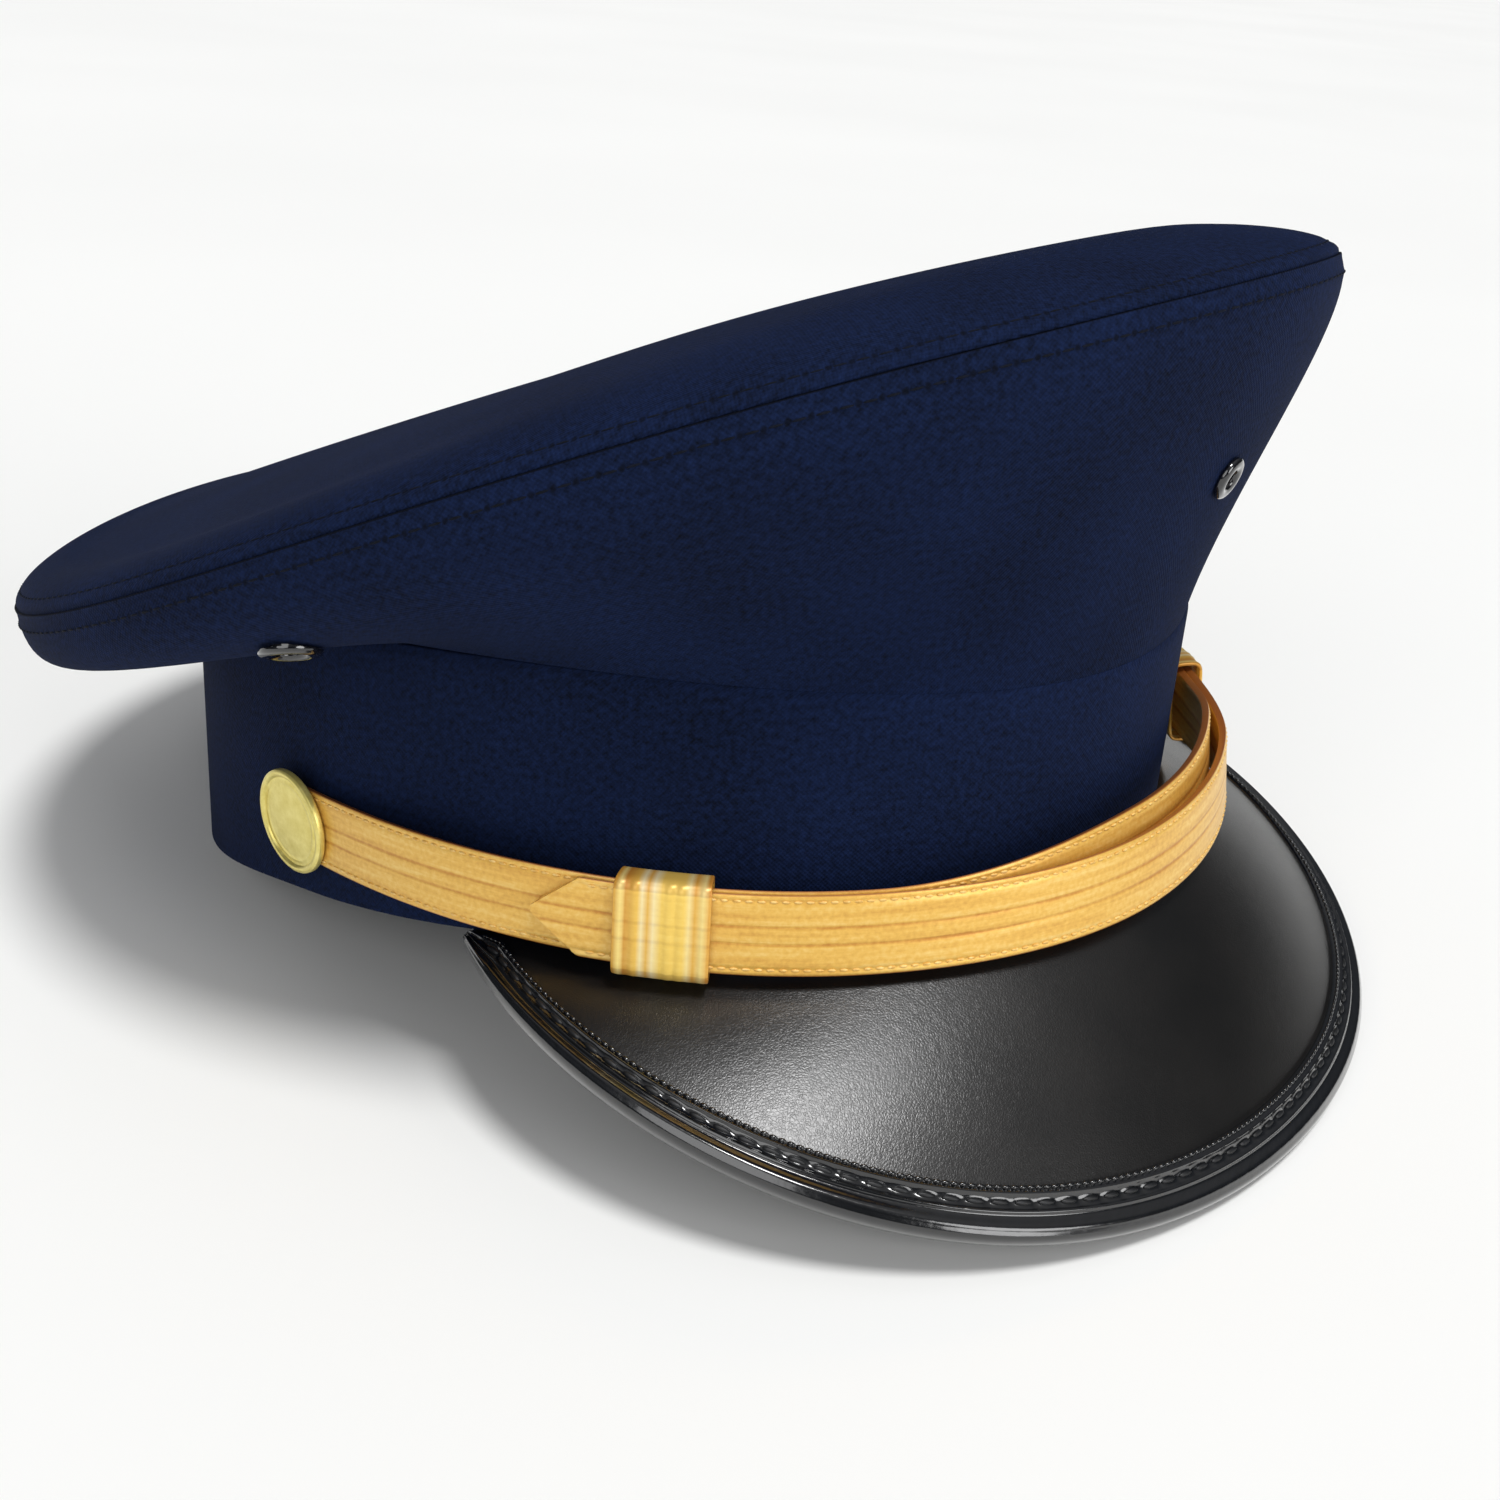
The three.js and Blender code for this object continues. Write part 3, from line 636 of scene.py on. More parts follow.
def strap_frame(angle):
    """Points of the line, and its directions along, across the strap and outwards."""
    d = 0.02
    along = unit(strap_line(angle + d) - strap_line(angle - d))
    across = unit(UP - along * along[..., 2:])
    return strap_line(angle), along, across, unit(np.cross(along, across))


def strap_at(angle, out, side):
    """A point a distance out from the line and a distance to its side."""
    centre, _, across, outwards = strap_frame(angle)
    return centre + outwards * np.asarray(out)[..., None] + across * np.asarray(side)[..., None]


print("button to button round the front, mm:", round(float(running(strap_line(
    np.radians(np.linspace(-STRAP_BUTTON_ANGLE, STRAP_BUTTON_ANGLE, 200))), 0)[-1]), 1))

# %% How the layers ride and what is pressed into them
STRAP_WIDTH, STRAP_LEATHER, STRAP_SPREAD = 14.0, 1.4, 1.5
PARTS_FROM, PARTS_TO = (-38, -6), (20, 37)       # degrees in which the layers part and close
DROPS_BACK = (71, 88)              # degrees in which the outer layer comes down to the band
LINE_AWAY, LINE_SPREAD, LINE_DEPTH = 1.5, 0.25, 0.1
RIM_AWAY, RIM_SPREAD, RIM_DEPTH = 5.9, 0.35, 0.2
ROUNDS_FROM, ROUNDS_TO, ROUNDS_DEPTH = 6.3, 7.0, 0.25


def parting(degrees):
    """How far the two layers have come apart, from 0 to 1."""
    return smooth(*PARTS_FROM, degrees) * (1 - smooth(*PARTS_TO, degrees))


def outer_ride(degrees):
    """How far the outer layer stands off, to clear the inner one."""
    return ((STRAP_LEATHER + GAP) * (1 - smooth(*DROPS_BACK, degrees))
            + STRAP_SPREAD * parting(degrees))


def strap_relief(side):
    """Pressed lines, stitched rims and rounded edges, by distance from the middle line."""
    lines = -LINE_DEPTH * (hump(side - LINE_AWAY, LINE_SPREAD)
                           + hump(side + LINE_AWAY, LINE_SPREAD))
    rims = (-RIM_DEPTH * hump(np.abs(side) - RIM_AWAY, RIM_SPREAD)
            - ROUNDS_DEPTH * smooth(ROUNDS_FROM, ROUNDS_TO, np.abs(side)))
    return lines + rims


print("pressed line, mm:", round(float(strap_relief(np.array(LINE_AWAY))), 2))

# %% Outline of a layer
STRAP_END_ANGLE, STRAP_TIP_ANGLE, STRAP_TIP_SPAN, STRAP_END_SPAN = 102.2, 68.2, 4.4, 2.2
TIP_WIDTH, END_WIDTH = 0.08, 0.6   # as shares of the strap's width
NEAR_END, NEAR_TIP = 3, 5          # degrees over which the columns lie closer
HALF_STRAP = STRAP_WIDTH / 2
# Millimetres across the strap: even rows, and a few more beside the pressed lines and the rims.
ACROSS = np.sort(np.concatenate([np.linspace(-HALF_STRAP, HALF_STRAP, 29),
                                 [-1.72, -1.28, 1.28, 1.72], [-6.25, -5.7, 5.7, 6.25]]))


def strap_outline(side):
    """Columns of one layer in degrees, and half its width at each."""
    tip, end = -side * STRAP_TIP_ANGLE, side * STRAP_END_ANGLE
    degrees = np.concatenate([
        np.linspace(end, end - side * NEAR_END, 14)[:-1],
        np.linspace(end - side * NEAR_END, tip + side * NEAR_TIP, 300)[:-1],
        np.linspace(tip + side * NEAR_TIP, tip, 20)])
    point_cut = mix(TIP_WIDTH, 1, np.abs(degrees - tip) / STRAP_TIP_SPAN)
    round_cut = mix(END_WIDTH, 1, np.sqrt(np.clip(np.abs(degrees - end) / STRAP_END_SPAN, 0, 1)))
    return degrees, HALF_STRAP * np.minimum(np.minimum(1, point_cut), round_cut)


print("rows across a layer:", len(ACROSS))

# %% Lay and stitch a layer
STRAP_WALL, STRAP_EDGE = 1.3, 0.3
STRAP_STITCH, STRAP_PITCH, STRAP_UNSEWN, THREAD_SINK = (1.35, 0.5, 0.5), 1.9, 9.0, 0.12


def strap_layer(name, side, ride, lift):
    """One layer, from its button to its tip. Ride is how far it stands off the line; lift is
    how far it is shifted up."""
    degrees, half = strap_outline(side)
    side_grid = ACROSS[:, None] / HALF_STRAP * half[None, :]
    degree_grid = np.broadcast_to(degrees, side_grid.shape)
    height = ride(degree_grid) + STRAP_LEATHER + strap_relief(side_grid)
    points = strap_at(np.radians(degree_grid), height, side_grid + lift(degree_grid))
    run = running(strap_line(np.radians(degrees)), 0)
    face = np.stack([np.broadcast_to(run, side_grid.shape), side_grid], axis=-1)
    piece = lay(name, points, STRAP_WALL, STRAP_EDGE, weave=face, seam=face,
                inside_out=side > 0)
    print(name, "length, mm:", round(float(run[-1]), 1))
    rows = []
    at = np.interp(np.arange(STRAP_UNSEWN, run[-1] - STRAP_UNSEWN, STRAP_PITCH), run, degrees)
    _, along, _, outwards = strap_frame(np.radians(at))
    for edge in (-RIM_AWAY, RIM_AWAY):
        centres = strap_at(np.radians(at), ride(at) + STRAP_LEATHER - THREAD_SINK,
                           edge + lift(at))
        rows.append((centres, along, outwards))
    thread = sew(name.replace("leather", "stitches"), STRAP_STITCH,
                 *(np.concatenate(r) for r in zip(*rows)))
    return piece, thread


# %% Both layers
STRAP_LIFT = 3.6                   # the inner layer shows above the outer one where they part


def nothing(degrees):
    return 0 * degrees


def inner_lift(degrees):
    return STRAP_LIFT * parting(degrees)


strap_inner, inner_thread = strap_layer("strap_inner_leather", -1, nothing, inner_lift)
strap_outer, outer_thread = strap_layer("strap_outer_leather", 1, outer_ride, nothing)

# %% [markdown]
# ## The keepers
# A keeper is a leather loop that holds both layers together and slides along them. It is pressed
# with ribs across the strap and a raised rail at each end. A box with a hole through it would be
# straight, and the strap it grips is curved. So its section, a rounded box, is carried along the
# strap's own line, with the ribs raised only on the outer face.

# %% Section of a keeper
KEEPER_LENGTH, KEEPER_WALL, KEEPER_EDGE, KEEPER_LEATHER = 15.0, 0.8, 0.2, 0.65
RAIL_AT, RAIL_SPREAD, RAIL_RISE, RIB_RISE = 6.6, 0.5, 0.3, 0.25
RIBS = ((-3.0, 0.5), (-1.2, 0.5), (4.2, 0.4))    # place along the keeper, and spread
SIDE_SQUARE, FACE_SQUARE = 0.16, 0.5             # less is squarer


def keeper_relief(x):
    """A rail at each end and ribs between them, by distance along the keeper."""
    rails = RAIL_RISE * hump(np.abs(x) - RAIL_AT, RAIL_SPREAD)
    return rails + RIB_RISE * sum(hump(x - place, spread) for place, spread in RIBS)


print("keeper rail stands, mm:", round(float(keeper_relief(np.array(RAIL_AT))), 2))

# %% Keepers
KEEPER_RIGHT, KEEPER_LEFT = -56.4, 42.0          # degrees round from the front


def keeper(name, side, angle):
    """A closed loop round both layers of the strap."""
    centre, d = radians(angle), 0.02
    ends = strap_line(np.array([centre - d, centre + d]))
    per_radian = np.linalg.norm(ends[1] - ends[0]) / (2 * d)
    lengths = np.linspace(-KEEPER_LENGTH / 2, KEEPER_LENGTH / 2, 46)
    low, high = -GAP - KEEPER_WALL, 2 * STRAP_LEATHER + 2 * GAP + KEEPER_WALL
    half = STRAP_WIDTH / 2 + GAP + KEEPER_WALL
    turned = np.linspace(0, 2 * np.pi, 73)
    c, s = np.cos(turned), np.sin(turned)
    side_at = half * np.sign(c) * np.abs(c) ** SIDE_SQUARE
    out_at = (low + high) / 2 + (high - low) / 2 * np.sign(s) * np.abs(s) ** FACE_SQUARE
    length_grid, side_grid = np.meshgrid(lengths, side_at)
    out_grid = np.broadcast_to(out_at[:, None], side_grid.shape)
    front = smooth(0.2, 0.9, s)[:, None]
    points = strap_at(centre + length_grid / per_radian,
                      out_grid + keeper_relief(length_grid * side) * front, side_grid)
    face = np.stack([length_grid, side_grid], axis=-1)
    return lay(name, points, KEEPER_LEATHER, KEEPER_EDGE, weave=face, seam=face, ring=True)


keeper_right = keeper("keeper_right_leather", -1, KEEPER_RIGHT)
keeper_left = keeper("keeper_left_leather", 1, KEEPER_LEFT)

# %% [markdown]
# ## Buttons and eyelets
# Both are round metal pieces, stamped or turned. Blender has a tool that works as a lathe does:
# half of the section is drawn point by point with extrude, and Spin carries it round. A stack of
# cylinders would need as many steps and leave hard rings between them.

# %% Helper: turn a profile
SPIN_WELD, TURNED_EDGE = 0.000005, radians(35)   # metres; angle past which an edge stays sharp


def turn_piece(name, profile, steps):
    """Spins (radius, height) pairs, in millimetres, round Z."""
    bpy.ops.object.select_all(action="DESELECT")
    bpy.ops.mesh.primitive_plane_add(size=MM)
    piece = bpy.context.object
    piece.name = piece.data.name = name
    bpy.ops.object.mode_set(mode="EDIT")
    bpy.ops.mesh.select_all(action="SELECT")
    bpy.ops.mesh.merge(type="CENTER")
    at = Vector((profile[0][0] * MM, 0, profile[0][1] * MM))
    bpy.ops.transform.translate(value=at)
    for radius, height in profile[1:]:
        there = Vector((radius * MM, 0, height * MM))
        bpy.ops.mesh.extrude_region_move(TRANSFORM_OT_translate={"value": there - at})
        at = there
    bpy.ops.mesh.select_all(action="SELECT")
    bpy.ops.mesh.spin(steps=steps, angle=2 * np.pi, center=(0, 0, 0), axis=(0, 0, 1))
    bpy.ops.mesh.select_all(action="SELECT")
    bpy.ops.mesh.remove_doubles(threshold=SPIN_WELD)
    bpy.ops.mesh.normals_make_consistent(inside=False)
    bpy.ops.object.mode_set(mode="OBJECT")
    only(piece)
    bpy.ops.object.shade_smooth_by_angle(angle=TURNED_EDGE)
    print(name, len(piece.data.polygons), "faces")
    return piece


def set_in_place(piece, centre, out):
    """Stands a turned piece at a point of the cap, facing outwards, with its place in its mesh."""
    facing = Vector(tipped(out[None])[0]).to_track_quat("Z", "Y").to_matrix().to_4x4()
    piece.matrix_world = Matrix.Translation(Vector(at_rest(centre[None])[0])) @ facing
    only(piece)
    bpy.ops.object.transform_apply(location=True, rotation=True, scale=True)


# %% [markdown]
# A side button is a thin stamped disc with a raised rim and a slightly domed field, on a short
# shank that goes through the strap into the band. Its face is plain, so a turned profile is all
# it needs.

# %% Buttons
BUTTON_STEPS, SHANK_FOOT, BUTTON_BACK = 64, GAP - STRAP_SEAT, STRAP_LEATHER + GAP
SHANK = [(0.0, SHANK_FOOT), (1.9, SHANK_FOOT), (2.0, SHANK_FOOT + 0.15),
         (2.0, BUTTON_BACK - 0.1)]
# Radius and height over the disc's back: out along the back, over the rim, in across the field.
DISC = ((2.2, 0.0), (8.9, 0.0), (9.4, 0.1), (9.66, 0.4), (9.7, 0.8), (9.6, 1.25), (9.3, 1.52),
        (8.95, 1.6), (8.6, 1.52), (8.35, 1.25), (8.2, 1.1), (7.6, 1.08), (7.4, 1.2),
        (7.2, 1.22), (7.0, 1.15), (6.6, 1.18), (5.0, 1.3), (3.0, 1.38), (0.0, 1.42))
BUTTON_PROFILE = SHANK + [(radius, BUTTON_BACK + height) for radius, height in DISC]
buttons = {}
for name, side in (("right", -1), ("left", 1)):
    buttons[name] = turn_piece(f"button_{name}_gilt", BUTTON_PROFILE, BUTTON_STEPS)
    centre, _, _, outwards = strap_frame(np.array([radians(side * STRAP_BUTTON_ANGLE)]))
    set_in_place(buttons[name], centre[0], outwards[0])

# %% [markdown]
# An eyelet is a brass tube pushed through the cloth, with a flange outside that rolls over into
# its bore. The one in front takes a badge's post, and one in each side lets air out. All three
# come from one profile with different radii, and each is stood square to the wall where it is.

# %% Eyelets
EYELET_STEPS, FLANGE_EDGE, FLANGE_CREST, BARREL_END = 48, 0.25, 0.85, 0.6
BADGE_SIZE, VENT_SIZE = (3.8, 2.3, 1.5), (5.0, 3.4, 2.4)     # radii: flange, barrel, bore
BADGE_RISE, VENT_RISE, VENT_ANGLE = 0.4, 0.55, 84.0


def eyelet_profile(flange, barrel, bore):
    """Half the section of an eyelet: over its flange, down its bore and back."""
    back = -CROWN_WALL - BARREL_END
    middle, half = (flange + bore) / 2, (flange - bore) / 2
    crest = [(middle + half * np.cos(t), GAP + FLANGE_EDGE + FLANGE_CREST * np.sin(t))
             for t in np.linspace(0, np.pi, 11)]
    return [(barrel, GAP), (flange, GAP)] + crest + [(bore, back), (barrel, back), (barrel, GAP)]


def wall_out_at(angle, rise):
    """Direction out of the crown's wall at one point."""
    d = 0.01
    a, r = np.array([angle]), np.array([rise])
    return unit(np.cross(wall_at(a + d, r) - wall_at(a - d, r),
                         wall_at(a, r + d) - wall_at(a, r - d)))[0]


eyelets = {}
for name, angle, rise, size in (("badge_eyelet", 0.0, BADGE_RISE, BADGE_SIZE),
                                ("vent_eyelet_right", -VENT_ANGLE, VENT_RISE, VENT_SIZE),
                                ("vent_eyelet_left", VENT_ANGLE, VENT_RISE, VENT_SIZE)):
    eyelets[name] = turn_piece(f"{name}_brass", eyelet_profile(*size), EYELET_STEPS)
    spot = wall_at(np.array([radians(angle)]), np.array([rise]))[0]
    set_in_place(eyelets[name], spot, wall_out_at(radians(angle), rise))

# %% [markdown]
# ## Materials
# Each finish starts from what the real one is. Colours are written as the hex values a screen
# shows, and one function turns them to linear, because shaders count light and not screen
# values. One small function adds any shader node with its settings and links, so that a material
# can be read from top to bottom. Building the nodes by hand would give the same result, but only
# in one file.

# %% Helpers for colours and nodes
def linear(hex_colour):
    """A screen's hex colour as linear red, green, blue and alpha."""
    parts = [int(hex_colour[i:i + 2], 16) / 255 for i in (1, 3, 5)]
    return [p / 12.92 if p <= 0.04045 else ((p + 0.055) / 1.055) ** 2.4 for p in parts] + [1.0]


def plug(tree, node, inputs):
    """Sets a node's inputs. Each takes a number, a colour, a socket, or another node, whose
    first output in use is meant."""
    for socket, value in inputs.items():
        if isinstance(value, bpy.types.Node):
            value = next(s for s in value.outputs if s.enabled)
        if isinstance(value, bpy.types.NodeSocket):
            tree.links.new(value, node.inputs[socket])
        else:
            node.inputs[socket].default_value = value


def add(tree, kind, inputs=None, stops=(), **settings):
    """Adds a node with its settings and links. Stops are a ramp's (position, hex colour)."""
    made = tree.nodes.new("ShaderNode" + kind)
    for name, value in settings.items():
        setattr(made, name, value)
    while stops and len(made.color_ramp.elements) < len(stops):
        made.color_ramp.elements.new(0.5)
    for number, (position, colour) in enumerate(stops):
        place = made.color_ramp.elements[number]
        place.position, place.color = position, linear(colour)
    plug(tree, made, inputs or {})
    return made


print("mid grey in linear light:", round(linear("#808080")[0], 3))

# %% Helpers for materials and pieces
def new_material(name, sockets):
    """A material with one Principled surface; returns it with its tree and that surface."""
    material = bpy.data.materials.new(name)
    material.use_nodes = True
    tree = material.node_tree
    surface = tree.nodes["Principled BSDF"]
    plug(tree, surface, sockets)
    return material, tree, surface


def mottle(tree, surface, place, dark, light, **noise):
    """Lets a surface's colour waver between two, as dye and wear do. Returns the pattern."""
    pattern = add(tree, "TexNoise", {"Vector": place, **noise})
    tone = add(tree, "ValToRGB", {"Fac": pattern}, stops=((0.3, dark), (0.7, light)))
    plug(tree, surface, {"Base Color": tone})
    return pattern


def dress(piece, material, slot, *nodes):
    """Gives a piece its material, its body and the frame nodes it stands for. The slot is not
    used.
    """
    piece.data.materials.clear()
    piece.data.materials.append(material)
    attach(piece, "root")
    if nodes:
        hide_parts(*nodes)


# %% [markdown]
# ### Navy worsted cloth
# The crown and the band are wool yarn, woven plain and pressed: matt, with a faint bloom where
# the fibres catch grazing light. The weave could be an image, but a picture repeats and blurs.
# Two crossing sine waves in millimetres make it at any size. The real threads are about half a
# millimetre apart and too fine to show, so they are drawn nearly twice as coarse.

# %% Cloth and its weave
THREAD_PITCH = 0.8
THREADS = 2 * np.pi / THREAD_PITCH       # turns one millimetre into an angle of the wave
SLUBS, CLOUDS = 0.9, 0.035         # per millimetre: thick places in the yarn, and patches of dye
cloth, tree, surface = new_material("navy_worsted_cloth", {
    "Roughness": 0.9, "Specular IOR Level": 0.08, "Sheen Weight": 0.05,
    "Sheen Roughness": 0.5, "Sheen Tint": linear("#5c6ea8")})
weave = add(tree, "UVMap", uv_map="weave")
split = add(tree, "SeparateXYZ", {0: weave})
waves = [add(tree, "Math", {0: add(tree, "Math", {0: split.outputs[way], 1: THREADS},
                                   operation="MULTIPLY")}, operation="SINE") for way in "XY"]
crossing = add(tree, "Math", {0: waves[1], 1: waves[0]}, operation="MULTIPLY")
slub = add(tree, "TexNoise", {"Vector": weave, "Scale": SLUBS, "Detail": 3.0, "Roughness": 0.65})
cloud = add(tree, "TexNoise", {"Vector": weave, "Scale": CLOUDS, "Detail": 2.0})
shade = add(tree, "Math", {0: crossing, 1: 0.05, 2: slub}, operation="MULTIPLY_ADD")
shade = add(tree, "Math", {0: cloud, 1: 0.35, 2: shade}, operation="MULTIPLY_ADD")
tone = add(tree, "ValToRGB", {"Fac": shade}, stops=((0.4, "#050915"), (0.95, "#132143")))
print(cloth.name, "threads drawn every", THREAD_PITCH, "mm")

# %% [markdown]
# Cloth is also darker where light can't reach: in the seam's own line and in the needle holes
# beside every stitch. The seam map counts along the seam and away from it, so both are a matter
# of distance. Pieces without that seam have a map far away from it, and share the material.

# %% Seam line and needle holes
HOLE_INNER, HOLE_OUTER = 0.06, 0.4       # square millimetres: distances here stay squared
seam = add(tree, "SeparateXYZ", {0: add(tree, "UVMap", uv_map="seam")})
off_seam = add(tree, "Math", {0: seam.outputs["Y"]}, operation="ABSOLUTE")
line = add(tree, "MapRange", {"Value": off_seam, "From Min": 0.02, "From Max": 0.22,
                              "To Min": 1.0, "To Max": 0.0})
off_row = add(tree, "Math", {0: off_seam, 1: STITCH_AWAY}, operation="SUBTRACT")
off_row = add(tree, "Math", {0: off_row, 1: 2.0}, operation="POWER")
off_hole = seam.outputs["X"]
for operation, amount in (("DIVIDE", STITCH_STEP), ("ADD", 0.5), ("FRACT", 0.0),
                          ("SUBTRACT", 0.5), ("MULTIPLY", STITCH_STEP), ("POWER", 2.0),
                          ("ADD", off_row)):
    off_hole = add(tree, "Math", {0: off_hole, 1: amount}, operation=operation)
hole = add(tree, "MapRange", {"Value": off_hole, "From Min": HOLE_INNER, "From Max": HOLE_OUTER,
                              "To Min": 0.75, "To Max": 0.0})
dark = add(tree, "Math", {0: hole, 1: line}, operation="MAXIMUM")
colour = add(tree, "Mix", {0: dark, 6: tone, 7: linear("#05070e")}, data_type="RGBA")
relief = add(tree, "Math", {0: hole, 1: -2.0, 2: crossing}, operation="MULTIPLY_ADD")
relief = add(tree, "Math", {0: slub, 1: 2.0, 2: relief}, operation="MULTIPLY_ADD")
bump = add(tree, "Bump", {"Height": relief, "Distance": 0.06 * MM, "Strength": 0.6})
plug(tree, surface, {"Base Color": colour, "Normal": bump})
print(cloth.name, len(tree.nodes), "nodes")

# %% [markdown]
# ### Threads
# The topstitching is navy polyester, dull and a shade darker than the cloth. The binding is sewn
# with waxed black thread and the strap with gold silk. Threads this thin show no twist of their
# own, and modelling it would cost thousands of faces, so each has one soft mottling about a
# millimetre long, which keeps a row of stitches from looking like beads.

# %% Threads
threads = {}
for name, sockets, per_mm, dark_hex, light_hex in (
        ("navy_polyester_thread", {"Roughness": 0.85, "Specular IOR Level": 0.15}, 1.2,
         "#04070e", "#0a1020"),
        ("waxed_black_thread", {"Roughness": 0.5}, 0.9, "#050607", "#101216"),
        ("gold_silk_thread", {"Roughness": 0.45}, 1.2, "#cf9a3e", "#f0cd80")):
    threads[name], tree, surface = new_material(name, sockets)
    mottle(tree, surface, add(tree, "TexCoord").outputs["Object"], dark_hex, light_hex,
           Scale=per_mm / MM)
    print(name, "pattern, mm:", round(1 / per_mm, 2))

# %% [markdown]
# ### Black leathers
# The peak is cowhide with a pressed fine grain and a resin finish, so it shines broadly but not
# sharply. Grain is small raised cells with creases between them, which is what a Voronoi
# pattern's distance to its edges gives. The cells are half a millimetre wide, and a little noise
# pulls them out of line, as no hide is regular.

# %% Grained leather
GRAIN = 0.5                        # width of a cell, mm
leather, tree, surface = new_material("black_grained_leather", {
    "IOR": 1.5, "Specular IOR Level": 0.75})
place = add(tree, "TexCoord").outputs["Object"]
in_mm = add(tree, "VectorMath", {0: place, 1: (1 / MM, 1 / MM, 1 / MM)}, operation="MULTIPLY")
warped = add(tree, "TexNoise", {"Vector": in_mm, "Scale": 0.6, "Detail": 2.0})
pulled = add(tree, "VectorMath", {0: in_mm, 1: warped.outputs["Color"]}, operation="ADD")
cells = add(tree, "TexVoronoi", {"Vector": pulled, "Scale": 1 / GRAIN},
            feature="DISTANCE_TO_EDGE")
speck = add(tree, "TexNoise", {"Vector": in_mm, "Scale": 1.3, "Detail": 2.0})
cloud = mottle(tree, surface, in_mm, "#090807", "#12100e", Scale=0.05, Detail=3.0)
gloss = add(tree, "Math", {0: speck, 1: 0.06, 2: 0.24}, operation="MULTIPLY_ADD")
gloss = add(tree, "Math", {0: cloud, 1: 0.08, 2: gloss}, operation="MULTIPLY_ADD")
grain = add(tree, "Math", {0: cells, 1: 0.25}, operation="MINIMUM")
grain = add(tree, "Math", {0: speck, 1: 0.35, 2: grain}, operation="MULTIPLY_ADD")
bump = add(tree, "Bump", {"Height": grain, "Distance": 0.14 * MM, "Strength": 0.32})
plug(tree, surface, {"Roughness": gloss, "Normal": bump})
print(leather.name, "grain, mm:", GRAIN)

# %% [markdown]
# The binding is patent leather: hide under a thick clear lacquer. The coat layer of the surface
# is that lacquer, which keeps sharp reflections, and a slow ripple under it stands for the hide.

# %% Patent leather
RIPPLES = 0.45                     # per millimetre
patent, tree, surface = new_material("black_patent_leather", {
    "Roughness": 0.2, "IOR": 1.5, "Coat Weight": 1.0, "Coat Roughness": 0.08})
ripple = mottle(tree, surface, add(tree, "UVMap", uv_map="weave"), "#060708", "#0d0e11",
                Scale=RIPPLES)
bump = add(tree, "Bump", {"Height": ripple, "Distance": 0.3 * MM, "Strength": 0.25})
plug(tree, surface, {"Normal": bump})
print(patent.name, "ripple, mm:", round(1 / RIPPLES, 1))

# %% [markdown]
# ### Gold-faced leather
# Thin leather under a gold foil: a warm metal look, streaked along its length by the rollers
# that pressed it. The streaks are noise stretched along the strap, which is why the map counts
# in millimetres along it and across it. The pressed lines are darker, and the cut edges show the
# brown of the leather.

# %% Gold leather: colour
STRETCH = (0.04, 0.7, 1.0)         # streaks 25 mm long and 1.4 mm wide
gold, tree, surface = new_material("gold_faced_leather", {
    "Roughness": 0.4, "Metallic": 0.3, "Coat Weight": 0.15, "Coat Roughness": 0.3})
place = add(tree, "UVMap", uv_map="weave")
drawn = add(tree, "VectorMath", {0: place, 1: STRETCH}, operation="MULTIPLY")
streak = add(tree, "TexNoise", {"Vector": drawn, "Scale": 1.0, "Detail": 4.0, "Roughness": 0.6})
pressed = add(tree, "TexNoise", {"Vector": place, "Scale": 1.1, "Detail": 3.0})
from_middle = add(tree, "Math", {0: add(tree, "SeparateXYZ", {0: place}).outputs["Y"]},
                  operation="ABSOLUTE")
off_line = add(tree, "Math", {0: from_middle, 1: LINE_AWAY}, operation="SUBTRACT")
off_line = add(tree, "Math", {0: off_line}, operation="ABSOLUTE")
line = add(tree, "MapRange", {"Value": off_line, "From Min": 0.1, "From Max": 0.45,
                              "To Min": 0.22, "To Max": 0.0})
shade = add(tree, "Math", {0: streak, 1: 0.6}, operation="MULTIPLY")
shade = add(tree, "Math", {0: pressed, 1: 0.4, 2: shade}, operation="MULTIPLY_ADD")
shade = add(tree, "Math", {0: shade, 1: line}, operation="SUBTRACT")
face_tone = add(tree, "ValToRGB", {"Fac": shade},
                stops=((0.2, "#c48632"), (0.5, "#e6b654"), (0.85, "#f8dc8e")))
print(gold.name, "streaks, mm:", [round(1 / s, 1) for s in STRETCH[:2]])

# %% Gold leather: cut edges and relief
EDGE_FROM, EDGE_TO = 6.75, 6.95    # mm from the middle line
cut_edge = add(tree, "MapRange", {"Value": from_middle, "From Min": EDGE_FROM,
                                  "From Max": EDGE_TO})
edged = add(tree, "Mix", {0: cut_edge, 6: face_tone, 7: linear("#a2602a")}, data_type="RGBA")
relief = add(tree, "Math", {0: pressed, 1: 0.4, 2: streak}, operation="MULTIPLY_ADD")
bump = add(tree, "Bump", {"Height": relief, "Distance": 0.08 * MM, "Strength": 0.4})
plug(tree, surface, {"Base Color": edged, "Normal": bump})
print(gold.name, len(tree.nodes), "nodes")
